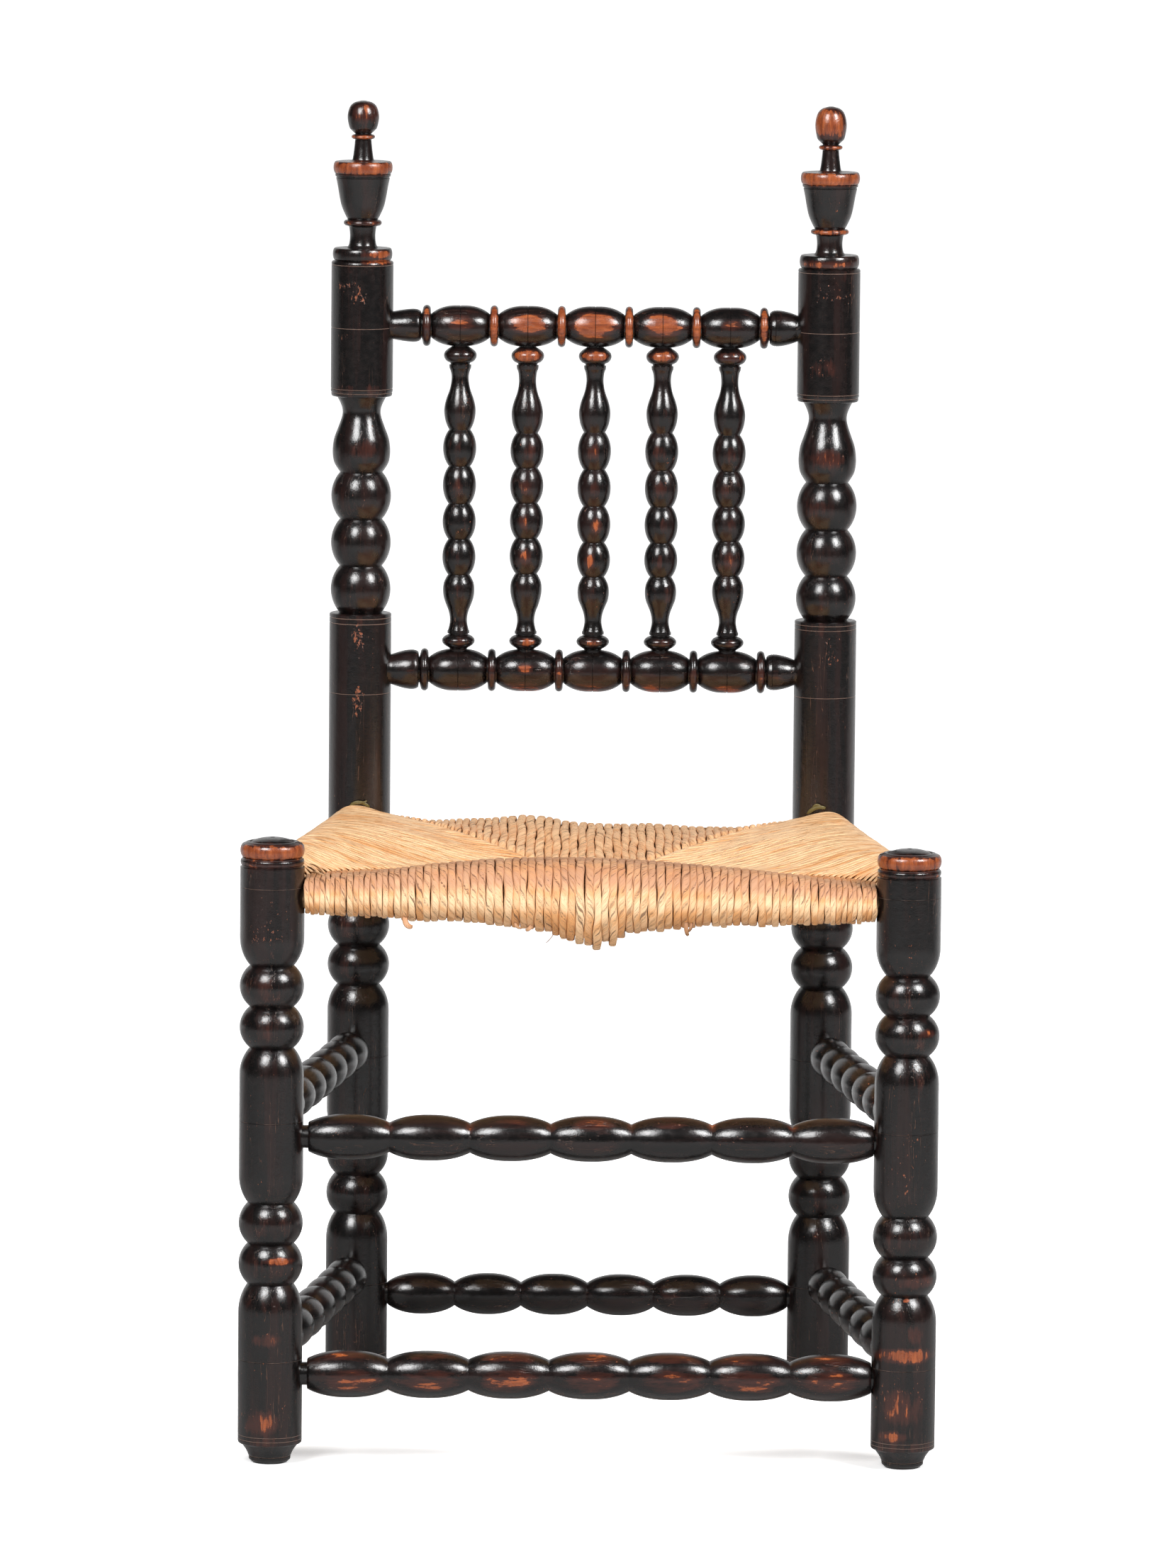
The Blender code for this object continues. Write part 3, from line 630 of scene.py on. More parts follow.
def long_end(at_post, wide, neck):
    """The left end of a rail, which swells slowly from the post to its first ring."""
    return [
        line((POST_RADIUS - SUNK, at_post - 0.1)),
        hollow(
            (25.6, at_post), (31, at_post + 0.45 * (wide - at_post)),
            (37, at_post + 0.85 * (wide - at_post)), (42.4, wide), (45.8, wide - 0.5),
            (47.9, wide - 1.7),
        ),
        line((48.4, neck), (48.9, neck)),
    ]


def round_end(at_post, wide, neck):
    """The right end, which is rounder, with a line cut at its widest."""
    return [
        line((POST_RADIUS - SUNK, at_post - 0.1)),
        hollow((25.6, at_post), (31, at_post + 0.5 * (wide - at_post)), (38, wide - 0.4), (42.4, wide)),
        scribed(43.4, wide, mark=1.0),
        hollow((44.2, wide - 0.1), (46.6, wide - 0.9), (48.2, wide - 2.3)),
        line((48.4, neck), (48.9, neck)),
    ]


def back_rail(length, radius, neck, ring_radius, left_end, right_end):
    """A ring, then an olive and a ring for each spindle, between two ends of their own."""
    middle = length / 2
    half = SPINDLE_PITCH * SPINDLES / 2
    parts = long_end(*left_end, neck)
    for place in range(SPINDLES + 1):
        at = middle - half + place * SPINDLE_PITCH
        parts.append(ring(at - 3.2, at + 3.2, ring_radius - 3.2, ring_radius, 9))
        if place < SPINDLES:
            after = at + SPINDLE_PITCH
            olive = bead(at + 4.3, after - 4.3, neck, radius, 8, 24)
            parts.append(line((at + 3.3, neck - 0.4), (at + 4.1, neck - 0.4)))
            parts.append(olive[:12])
            parts.append(scribed(at + SPINDLE_PITCH / 2, radius, 0.8, 0.4, 1.0))
            parts.append(olive[12:])
            parts.append(line((after - 4.1, neck - 0.4), (after - 3.3, neck - 0.4)))
    for part in round_end(*right_end, neck)[::-1]:
        parts.append((part * np.array([-1, 1, 1]) + np.array([length, 0, 0]))[::-1])
    return np.vstack(parts)


rings_at = BACK_WIDTH / MM / 2 + SPINDLE_PITCH * (np.arange(SPINDLES + 1) - SPINDLES / 2)
olives_at = rings_at[:-1] + SPINDLE_PITCH / 2
OLIVE_WEAR = ((13, 24, 0.52), (19, 34, 0.66), (21, 42, 0.8), (18, 36, 0.7), (10, 20, 0.5))
RING_WEAR = (0.42, 0.8, 0.85, 0.85, 0.8, 0.6)
LEANED_ON = [(at, long, 10, wide, worn) for at, (long, wide, worn) in zip(olives_at, OLIVE_WEAR)]
LEANED_ON += [(at, 4, 10, 80, worn) for at, worn in zip(rings_at, RING_WEAR)]
BRUSHED = [(at, 19, -62, 34, 0.5) for at in olives_at] + [(olives_at[1], 7, 12, 16, 0.66)]
BRUSHED += [(at, 4, -20, 60, 0.34) for at in rings_at]
for node, height, radius, neck, ring_radius, left_end, right_end, rubbed, patches in (
    ("top_back_rail", TOP_RAIL_HEIGHT, 16.7, 10.3, 16.9, (11.5, 13.6), (10.7, 14.8), 0.4, LEANED_ON),
    ("lower_back_rail", LOWER_RAIL_HEIGHT, 17.3, 10.8, 17.4, (12.4, 16.3), (10.6, 14.8), 0.36, BRUSHED),
):
    start, end, length = between("back_post_left", "back_post_right", height)
    outline = back_rail(length, radius, neck, ring_radius, left_end, right_end)
    wooden.append(turned(
        node + "_turned", outline, start, end, RAIL_SIDES, rubbed, node, patches=patches,
    ))
print("back rail:", triangles(wooden[-1]), "triangles")

# %% [markdown]
# ## The spindles
# Each spindle has a ball at both ends, then a vase, four beads and a vase again, upside down. The
# turner judged the beads by eye, so each spindle has its own heights for the necks between them.

# %% Spindles
SPINDLE_SIDES = 36

# Heights of the five necks that part four beads, then wear at the top, the bottom and the beads
SPINDLE_NECKS = (
    (668.3, 697.5, 726.7, 757.6, 787.6), (669.6, 698.6, 727.7, 756.6, 785.2),
    (667.4, 695.6, 725.5, 755.6, 786.3), (667.7, 695.6, 725.4, 755.5, 786.2),
    (669.0, 697.5, 725.8, 754.9, 785.0),
)
SPINDLE_WEAR = (
    (0.26, 0.34, 0.26), (0.62, 0.5, 0.42), (0.7, 0.52, 0.44), (0.66, 0.42, 0.42), (0.5, 0.36, 0.36),
)


def spindle(necks):
    """Heights from the floor: a ball, a fillet, a vase, four beads, a vase, a fillet, a ball."""
    low, high = necks[0], necks[-1]
    parts = [
        line((602.0, 7.2), (607.2, 7.2)),
        hollow(
            (607.4, 6.9), (608.5, 8.3), (610.0, 10.9), (611.9, 12.8), (613.9, 13.4), (615.8, 12.9),
            (617.6, 11.2), (618.8, 8.9),
        ),
        line((619.1, 7.9), (619.8, 7.9), (620.1, 9), (622.2, 9)),
        hollow(
            (622.6, 8.5), (626.5, 7.5), (630.3, 7.0), (634.5, 7.3), (639, 8.4), (643.5, 10.2),
            (low - 18.8, 12.2), (low - 12.3, 12.9), (low - 6.3, 12.1), (low - 1.3, 9.8),
        ),
    ]
    for start, end in zip(necks, necks[1:]):
        parts.append(bead(start, end, 8.8, 13.6, 0, 15))
    parts += [
        hollow(
            (high + 0.4, 8.9), (high + 3.3, 10.4), (high + 8.1, 12), (high + 14.6, 12.9),
            (high + 20, 12.5), (high + 26, 11.0), (high + 32, 8.8), (high + 37.4, 7.5), (high + 43, 7.0),
            (834.5, 7.5), (837.6, 8.5),
        ),
        line((838.0, 8.8), (841.0, 9.1), (841.3, 8.0), (842.4, 7.9)),
        hollow(
            (842.7, 8.6), (844.1, 11.2), (846.4, 12.9), (848.9, 13.4), (851.4, 12.7), (853.6, 10.6),
            (855.3, 8.0), (856.2, 6.8),
        ),
        line((856.4, 6.8), (862, 6.8)),
    ]
    return np.vstack(parts)


for number, (necks, (top, bottom, fronts)) in enumerate(zip(SPINDLE_NECKS, SPINDLE_WEAR)):
    across = (number - (SPINDLES - 1) / 2) * SPINDLE_PITCH * MM
    foot = Vector((across, DEPTH / 2, 0))
    name = "spindle_" + str(number + 1)
    patches = [(849.5, 5, 0, 70, top), (614, 4, 5, 40, bottom)]
    for low, high in zip(necks, necks[1:]):
        patches.append(((low + high) / 2, 8, rng.uniform(-14, 14), 24, fronts))
    wooden.append(turned(
        name + "_turned", spindle(necks), foot, foot + UP, SPINDLE_SIDES, 0.36, name, patches=patches,
    ))
print("spindle:", triangles(wooden[-1]), "triangles")

# %% [markdown]
# ## The rush seat
# A seat weaver twists wet rushes into a cord and winds it over one rail, round a corner post and
# over the next, so the seat shows four panels that meet along a mitre from each corner. Each
# strand that shows runs under its rail, round it and back over the top to the mitre. The cord
# could be modelled as one endless line, but what is seen is these strands side by side, so each
# panel is a row of strands whose centre lines come from one formula.

# %% The line of a panel's strands
CORNER = 26.0 * MM
FRONT_X = FRONT_WIDTH / 2 - CORNER
BACK_X = BACK_WIDTH / 2 - CORNER
CORNER_Y = DEPTH / 2 - CORNER
TIP_X = 0.033
TIP_Y = CORNER_Y - (BACK_X - TIP_X)
RAIL_Z = 0.4506
SIDE_RAIL_Z = 0.4632
ROLL = 0.0162
CORNER_Z = (RAIL_Z + SIDE_RAIL_Z) / 2
MIDDLE_TOP = RAIL_Z + ROLL - 0.0161
MIDDLE_BOTTOM = RAIL_Z - ROLL - 0.018
SPLAY = 0.15


def ease(share):
    """Level at both ends and steepest in the middle: (1 - cos(pi share)) / 2."""
    return (1 - np.cos(np.pi * share)) / 2


def panel_lines(panel, s):
    """For each place s along a panel: its point on the rail, its point on the mitre, how far
    from the corners it is (0 at a corner, 1 in the middle) and how far along the mitre."""
    if panel in ("front", "back"):
        corner, rail_y, sign = (FRONT_X, -DEPTH / 2, 1) if panel == "front" else (BACK_X, DEPTH / 2, -1)
        share = np.clip((corner - np.abs(s)) / (corner - TIP_X), 0, 1)
        place = np.interp(np.abs(s), [0, TIP_X, corner], [0.5, 5 / 12, 0])
        mitre = np.stack([s, -sign * CORNER_Y + (TIP_Y + sign * CORNER_Y) * share], 1)
        rail = np.stack([s, np.full_like(s, rail_y)], 1)
        return rail, mitre, np.sin(np.pi * place) ** 2, share
    side = -1 if panel == "left" else 1
    front = s < TIP_Y
    share = np.where(front, (s + CORNER_Y) / (TIP_Y + CORNER_Y), (CORNER_Y - s) / (CORNER_Y - TIP_Y))
    place = share / 2
    corner_x = np.where(front, FRONT_X, BACK_X)
    mitre = np.stack([side * (corner_x + (TIP_X - corner_x) * share), s], 1)
    reach = np.abs(FRONT_WIDTH / 2 - np.abs(mitre[:, 0]))
    swept = s + SPLAY * reach * np.clip((CORNER_Y - s) / (2 * CORNER_Y), 0, 1)
    along = (swept + DEPTH / 2) / DEPTH
    rail = np.stack([side * (FRONT_WIDTH + (BACK_WIDTH - FRONT_WIDTH) * along) / 2, swept], 1)
    return rail, mitre, np.sin(np.pi * place) ** 2, share


SIDE_PANEL = dict(
    rail_z=SIDE_RAIL_Z, crest=0.001, pouch=0.006, lean=0.006, strands=60, reach=CORNER_Y,
)
PANELS = {
    "front": dict(rail_z=RAIL_Z, lean=0.016, strands=82, reach=FRONT_X),
    "back": dict(rail_z=RAIL_Z, pouch=0.007, lean=0.01, strands=55, reach=BACK_X),
    "left": SIDE_PANEL,
    "right": SIDE_PANEL,
}

# The lie of the old rolls, as (place along the rail, rise or sag), in millimetres
CRESTS = {
    "front": (
        (-225, -1), (-190, 1.4), (-158, 4.6), (-130, 8.6), (-100, 11), (-75, 13), (-5, 13.4), (48, 12),
        (104, 9.4), (132, 7.6), (160, 4.6), (188, 0.4), (225, -2.5),
    ),
    "back": (
        (-165, -2.5), (-125, -1.4), (-101, 0.4), (-78, 1.6), (-55, 4.2), (-43, 3.8), (-31, 2),
        (-20, -0.2), (-8, -1.2), (15, -2), (50, -1.4), (85, -3.8), (120, -4), (165, -4.6),
    ),
}
SAGS = {
    "front": (
        (-225, -2), (-165, 0.6), (-141, 3), (-107, 3.2), (-74, 6.4), (-50, 9), (-24, 15), (-8, 19.6),
        (2, 23), (11, 22.4), (18, 20.2), (27, 15), (36, 11.4), (60, 9), (85, 5.6), (143, 3.4),
        (225, -1),
    ),
}
TURN_STEPS = 15
TOP_RUN_STEPS = 28
LOW_RUN_STEPS = 12
RUN_CROWDING = 1.15
SEAT_SLOPE = -0.005
BACK_DROP = 1.8


def swelling(tables, panel, s, plain):
    """How far a roll swells at each place along it, in metres: by its table, or else plainly."""
    if panel in tables:
        return MM * np.interp(s / MM, *np.array(tables[panel], float).T)
    return PANELS[panel][plain] * panel_lines(panel, s)[2]


def panel_surface(panel, s, skin, slack=0.0):
    """The panel's surface at each place s, as points from its lower mitre, out round the roll
    and back to its upper mitre. Across and up, the upper half is a quarter of an ellipse over
    the rail, then an eased run down to the mitre. The lower half is the same, upside down, and
    its strands hang lower by the slack."""
    facts = PANELS[panel]
    rail, mitre, lift, share = panel_lines(panel, s)
    inward = mitre - rail
    reach = np.linalg.norm(inward, axis=1)
    inward /= reach[:, None]
    roll = ROLL - skin
    lean = facts["lean"] * lift[:, None]
    front = mitre[:, 1] < TIP_Y
    corner_top = np.where(front, RAIL_Z, CORNER_Z) + ROLL
    drop = np.where(front, ease(share), share**BACK_DROP)
    top_end = corner_top + (MIDDLE_TOP - corner_top) * drop - skin - facts["rail_z"]
    corner_low = CORNER_Z - ROLL
    low_end = facts["rail_z"] - (corner_low + (MIDDLE_BOTTOM - corner_low) * ease(share)) - skin
    turn = np.linspace(0, np.pi / 2, TURN_STEPS)
    halves = []
    rise = swelling(CRESTS, panel, s, "crest")
    sag = swelling(SAGS, panel, s, "pouch") + slack * (panel in SAGS)
    for swell, end, steps in ((rise, top_end, TOP_RUN_STEPS), (sag, low_end, LOW_RUN_STEPS)):
        run = ((np.arange(1, steps + 1) / steps) ** RUN_CROWDING)[None]
        high = roll + swell[:, None]
        over = np.concatenate([
            lean - (lean + roll) * np.cos(turn), lean + (reach[:, None] - lean) * run
        ], 1)
        up = np.concatenate([high * np.sin(turn), high + (end[:, None] - high) * ease(run)], 1)
        halves.append((over, up))
    over = np.concatenate([halves[1][0][:, :0:-1], halves[0][0]], 1)
    up = np.concatenate([-halves[1][1][:, :0:-1], halves[0][1]], 1)
    flat = rail[:, None] + over[..., None] * inward[:, None]
    sloped = facts["rail_z"] + up + SEAT_SLOPE * flat[..., 0]
    return np.concatenate([flat, sloped[..., None]], -1), inward


def round_the_roll(panel):
    """How far round its rail each point of a strand lies: -1 under it, 0 at its face, 1 on its
    crest, and on to 2 at the upper mitre and -2 at the lower one."""
    quarter = np.linspace(0, 1, TURN_STEPS)
    above = 1 + np.arange(1, TOP_RUN_STEPS + 1) / TOP_RUN_STEPS
    below = 1 + np.arange(1, LOW_RUN_STEPS + 1) / LOW_RUN_STEPS
    return np.concatenate([-below[::-1], -quarter[:0:-1], quarter, above])


heights = panel_surface("front", np.array([0.0]), 0)[0][0, :, 2]
print("front roll, middle: from", heights.min().round(4), "to", heights.max().round(4), "m")

# %% [markdown]
# ## Strands with a life of their own
# Machine-laid strands would look like corrugated iron. Real ones are thinner near the corners,
# wander a little and swell where the twist takes in more rush. A pull of the weaver's hand also
# lays them flat against each other, so a strand's section is a squarish oval with three lobes
# that turn with the twist. On the front and back panels the twist is tight over the crest and
# slack elsewhere, and it runs the other way on the other half of each panel.

# %% How strands stray
# pale lifts a panel's tone: on the back and side panels it is a painted light, paler rush where the lamps
# light it too little
SIDE_SECTION = dict(
    square=0.5, share=0.6, thick=0.2, crease=0.03, stray=0.0004, fold=0.45, shade=0.3, pale=0.25,
)
SECTIONS = {
    "front": dict(
        square=0.5, share=0.515, thick=0.95, crease=0.15, stray=0.00045, fold=1.0, shade=0.9, pale=0,
    ),
    "back": dict(
        square=0.75, share=0.5, thick=1.05, crease=0.26, stray=0.0006, fold=1.0, shade=0.9, pale=0.55,
    ),
    "left": SIDE_SECTION,
    "right": SIDE_SECTION,
}


def waves(count, length, size, longest, parts=4):
    """Smooth noise along each of count lines: a sum of sines, each finer and fainter."""
    total = 0
    for part in range(parts):
        pace = math.tau / longest * (part + 1) * rng.uniform(0.75, 1.3, (count, 1))
        start = rng.uniform(0, math.tau, (count, 1))
        total = total + np.sin(pace * length + start) / (part + 1)
    return size * total


def strand_places(count, reach):
    """Places along the rail, with steps of 0.52 + 0.48 sin(pi x)^1.2 times a random share, so
    they are narrow at the corners and wide in the middle."""
    step = 0.52 + 0.48 * np.sin(np.linspace(0.03, 0.97, count) * np.pi) ** 1.2
    step *= rng.uniform(0.82, 1.18, count)
    edges = np.concatenate([[0], np.cumsum(step)])
    return ((edges[1:] + edges[:-1]) / edges[-1] - 1) * reach


def band(value, low, high, soft):
    """1 between low and high and 0 outside, with soft edges."""
    rise = np.clip((value - low) / soft + 0.5, 0, 1)
    fall = np.clip((high - value) / soft + 0.5, 0, 1)
    return ease(rise) * ease(fall)


def squarish(wave, power):
    """A sine or cosine wave made squarer: its sign times |wave|^power."""
    return np.sign(wave) * np.abs(wave) ** power


print("strands to lay:", sum(facts["strands"] for facts in PANELS.values()))

# %% [markdown]
# ## Laying the strands
# Each strand is its centre line, lifted off the surface by its own thickness and tucked down at
# the mitre, with rings of its section square to it. Each point also carries what the finish
# reads: where it lies on the rush that was twisted (fibre and twist), how pale the strand is
# (tone, with a painted light on the back and side panels), how deep between its neighbours it
# lies (under, which paints shade there), and where the roll is dusty or golden.
# The front roll has a painted sheen, a paler band just below its face, where the gold value is negative.

# %% Strands
CORD = 5.7 * MM
CORD_SIDES = 14
SLACK_TWIST = math.tau / 0.05
TIGHT_TWIST = math.tau / 0.016
POUCH_AT = 0.004
POUCH_REACH = 0.03
TUCK = 0.0042
TUCK_REACH = 0.0055
FREE_AFTER = 0.02
SLACK = 0.0009
POUCH_SLACK = 0.003
CREST_NARROWING = 0.06
SEATED = 0.0002
NARROWEST = 0.0022
WIDEST = 0.0092
THINNEST = 0.0008


def strands(panel):
    """Point (i, j, k) = centre_ij + wide_ij across_k lateral_ij + thick_ij deep_k inner_ij."""
    facts = PANELS[panel]
    section = SECTIONS[panel]
    count = facts["strands"]
    s = strand_places(count, facts["reach"])
    pouch = fading(np.abs(s - POUCH_AT) / POUCH_REACH)
    slack = rng.uniform(-1, 1, count) * (SLACK + POUCH_SLACK * pouch)
    surface, inward = panel_surface(panel, s, 0, slack)
    tangent = np.gradient(surface, axis=1)
    tangent /= np.linalg.norm(tangent, axis=2, keepdims=True) + 1e-12
    step = np.linalg.norm(np.diff(surface, axis=1), axis=2)
    length = np.concatenate([np.zeros((count, 1)), np.cumsum(step, 1)], 1)
    left = length[:, -1:] - length
    lateral = np.stack([inward[:, 1], -inward[:, 0], np.zeros(count)], 1)[:, None] + 0 * surface
    inner = np.cross(tangent, lateral)
    to_mitre = np.minimum(length, left)
    free = np.clip(to_mitre / FREE_AFTER, 0, 1)
    wander = waves(count, length, section["stray"], 0.09) * free
    centre = surface + lateral * wander[..., None]
    gap = np.abs(np.sum(np.diff(centre, axis=0) * lateral[1:], -1))
    gap = np.concatenate([gap[:1], (gap[1:] + gap[:-1]) / 2, gap[-1:]])
    place = round_the_roll(panel)
    crest = band(np.abs(place), 0.7, 1.25, 0.5)
    long_panel = panel in ("front", "back")
    wide = np.clip(gap, NARROWEST, WIDEST) * section["share"] * (1 + waves(count, length, 0.028, 0.05))
    wide = wide * (1 - CREST_NARROWING * crest * long_panel)
    thick = np.clip(wide * section["thick"], THINNEST, CORD / 2)
    thick = thick * (1 + waves(count, length, 0.035, 0.05))
    tuck = TUCK * fading(to_mitre / TUCK_REACH)
    high = waves(count, length, 0.00018, 0.12) * free
    centre = centre + inner * (thick + tuck + SEATED - high)[..., None]

    pace = SLACK_TWIST + (TIGHT_TWIST - SLACK_TWIST) * crest * long_panel
    hand = np.where(s < 0, 1, -1)[:, None] * (1 if panel == "front" else -1)
    per_step = (pace[1:] + pace[:-1]) / 2 * step * rng.uniform(0.8, 1.25, (count, 1))
    lay = hand * np.concatenate([np.zeros((count, 1)), np.cumsum(per_step, 1)], 1)
    angle = np.linspace(0, math.tau, CORD_SIDES, endpoint=False)
    spun = angle + (lay + rng.uniform(0, math.tau, (count, 1)))[..., None]
    crease = (section["crease"] * (1 + 1.2 * crest))[..., None]
    lobes = 1 - crease * (1 - np.abs(np.cos(1.5 * spun))) ** 2
    across = squarish(np.cos(angle), section["square"])
    deep = squarish(np.sin(angle), section["square"])
    rings = (
        centre[:, :, None]
        + lateral[:, :, None] * (wide[..., None] * (0.6 + 0.4 * lobes) * across)[..., None]
        + inner[:, :, None] * (thick[..., None] * lobes * deep)[..., None]
    )
    fibre = np.stack([
        wide[..., None] * np.cos(spun), wide[..., None] * np.sin(spun),
        length[..., None] + 0 * spun,
    ], -1) + rng.uniform(0, 9, (count, 1, 1, 3))
    # tone is random, plus pale, a painted light
    tone = rng.beta(2, 2, (count, 1)) + waves(count, length, 0.08, 0.11) + section["pale"]
    # Painted shade: darker at a strand's sides and on its inner side, scaled by the panel's shade
    under = section["shade"] * np.clip(np.abs(across) ** 30 * 0.8 + np.clip(deep, 0, 1), 0, 1)
    dust = band(place, 0.22, 1.45, 0.4)
    gold_and_sheen = band(place, 0.1, 0.75, 0.25) + band(place, 1.4, 2.2, 0.4)
    gold_and_sheen = gold_and_sheen + 0.3 * band(place, -0.8, -0.36, 0.3)
    # A negative gold value on the front roll paints a sheen, a paler band below its face
    if panel == "front":
        gold_and_sheen = gold_and_sheen - band(place, -0.16, 0.3, 0.3)
    else:
        dust, gold_and_sheen = dust * 0.4, gold_and_sheen * 0.5
    ones = np.ones((count, 1, CORD_SIDES))
    twist = np.stack([np.cos(spun), np.sin(spun), 0 * spun], -1)
    piece = mesh_of_rings("rush_strands_" + panel, rings, {
        "fibre": fibre, "twist": twist, "tone": tone[..., None] * ones, "under": under + 0 * spun,
        "dust": (dust * long_panel)[None, :, None] * ones,
        "gold_and_sheen": (gold_and_sheen * long_panel)[None, :, None] * ones, "fold": section["fold"] + 0 * spun,
    }, sharp=False)
    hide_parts("rush_seat")
    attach(piece, "root")
    print(panel, "panel:", count, "strands,", round(float(length[:, -1].sum()), 1), "m of cord")
    return piece


rushes = [strands(panel) for panel in PANELS]
print("strands:", [triangles(piece) for piece in rushes], "triangles")

# %% [markdown]
# ## Loose ends
# Where a cord has worn through, its end hangs below the front roll or curls beside a post. Each
# is a flat ribbon along a quadratic curve from one end to the other, pulled towards a middle point.

# %% Loose ends
RIBBON_STEPS = 11
RIBBON_SIDES = 8
RIBBON_THICKNESS = 0.22
RUFFLE = 0.12

# Start, pull and end in millimetres, then width, how dusty, how dark (towards the brown of the
# painted shade between strands) and how green
LOOSE = (
    ((-146, -196, 440), (-147, -211, 430), (-140, -204, 429.5), 4.6, 0.9, 0.1, 0),
    ((76, -196, 440), (74, -207, 428), (77, -200, 424), 3.4, 0.5, 0.7, 0),
    ((79, -196, 438), (81, -206, 430), (76, -201, 427), 2.6, 0.5, 0.75, 0),
    ((-58, -196, 436), (-61, -204, 429), (-54, -198, 428.5), 2.2, 0.8, 0.5, 0),
    ((-45, -196, 433), (-48, -202, 427), (-51, -195, 426.5), 3.0, 0.9, 0.4, 0),
    ((-28, -200, 426), (-31, -205, 421), (-35, -203, 417.5), 0.6, 0, 1, 0),
    ((-199, 166, 478), (-192, 163, 487), (-182, 165, 479), 2.8, 0, 0.2, 1),
    ((-197, 166, 482), (-190, 162, 481), (-184, 165, 484), 1.8, 0, 0.5, 1),
    ((177, 166, 476), (184, 163, 484), (192, 165, 481), 3.4, 0, 0.2, 1),
    ((181, 166, 479), (184, 163, 488), (190, 165, 480), 2.2, 0, 0.4, 1),
    ((-224, -168, 472), (-217, -176, 471), (-213, -178, 463), 1.4, 0, 0.9, 0),
    ((-222, -166, 474), (-214, -176, 474), (-209, -178, 465), 1.1, 0, 0.8, 0),
    ((-221, -172, 468), (-213, -180, 470), (-206, -182, 463), 1.6, 0, 0.6, 0),
)


def ribbons(table):
    """Points b(t) = (1 - t)^2 start + 2 t (1 - t) pull + t^2 end, in flat rings that taper."""
    curve = np.array([row[:3] for row in table], float) * MM
    width, dusty, dark, green = np.array([row[3:] for row in table], float).T
    t = np.linspace(0, 1, RIBBON_STEPS)
    weights = np.stack([(1 - t) ** 2, 2 * t * (1 - t), t**2])
    centre = np.einsum("wt,rwc->rtc", weights, curve)
    tangent = np.gradient(centre, axis=1)
    tangent /= np.linalg.norm(tangent, axis=2, keepdims=True)
    flat = np.cross(tangent, [0.0, -1.0, 0.0])
    flat /= np.linalg.norm(flat, axis=2, keepdims=True)
    proud = np.cross(tangent, flat)
    angle = np.linspace(0, math.tau, RIBBON_SIDES, endpoint=False)
    half = (width[:, None] * MM / 2 * np.minimum(0.4 + 3 * t, 1) * (1 - 0.4 * t**6))[..., None, None]
    ruffle = RUFFLE * half * np.sin(9 * t + width[:, None])[..., None, None]
    rings = centre[:, :, None] + flat[:, :, None] * half * np.cos(angle)[:, None] + proud[:, :, None] * (
        half * RIBBON_THICKNESS * np.sin(angle)[:, None] + ruffle * np.cos(angle)[:, None]
    )
    one = np.ones((len(table), RIBBON_STEPS, RIBBON_SIDES))
    fibre = np.stack([
        half[..., 0] * np.cos(angle), half[..., 0] * np.sin(angle), one * (t * 0.02)[None, :, None]
    ], -1) + rng.uniform(0, 9, (len(table), 1, 1, 3))
    return rings, {
        "fibre": fibre, "twist": np.stack([one, 0 * one, 0 * one], -1), "tone": 0.5 * one,
        "dust": one * dusty[:, None, None], "under": one * dark[:, None, None],
        "leaf": one * green[:, None, None], "fold": one,
    }


loose_rings, loose_values = ribbons(LOOSE)
loose_ends = mesh_of_rings("rush_loose_ends", loose_rings, loose_values, sharp=False)
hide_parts("rush_seat")
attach(loose_ends, "root")
rushes.append(loose_ends)
print("loose ends:", len(LOOSE))

# %% [markdown]
# ## The packing
# Between its upper and lower layers the weaver stuffs broken rush, which keeps the seat full and
# shows darkly between the strands. Each panel's packing is a closed body inside its strands.

# %% Packing under the strands
PACKING_SKIN = 4.3 * MM
PACKING_STEPS = 24
PACKING_REACH = 0.992


def way_round(rings):
    """Positive where the rings' faces look outwards, from the volume that they enclose."""
    middle = rings.mean((0, 1, 2))
    a = rings[:, :-1] - middle
    b = np.roll(a, -1, axis=2)
    c = rings[:, 1:] - middle
    return np.sum(np.cross(a, b) * c)


def packing(panel):
    """Each place along the panel gives one closed ring, the panel's surface a skin deeper."""
    reach = PANELS[panel]["reach"] * PACKING_REACH
    surface = panel_surface(panel, np.linspace(-reach, reach, PACKING_STEPS), PACKING_SKIN)[0]
    rings = surface[None, :, ::2]
    return rings if way_round(rings) > 0 else rings[:, ::-1]


bodies = np.concatenate([packing(panel) for panel in PANELS])
stuffing = mesh_of_rings("rush_packing", bodies, sharp=False)
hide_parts("rush_stuffing")
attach(stuffing, "root")
print("packing:", triangles(stuffing), "triangles")

# %% [markdown]
# ## Recipes for finishes
# A material here is a short recipe of nodes. Small helpers add a node and join what goes in, and
# colours are named once, above the recipe that uses them.

# %% A recipe book


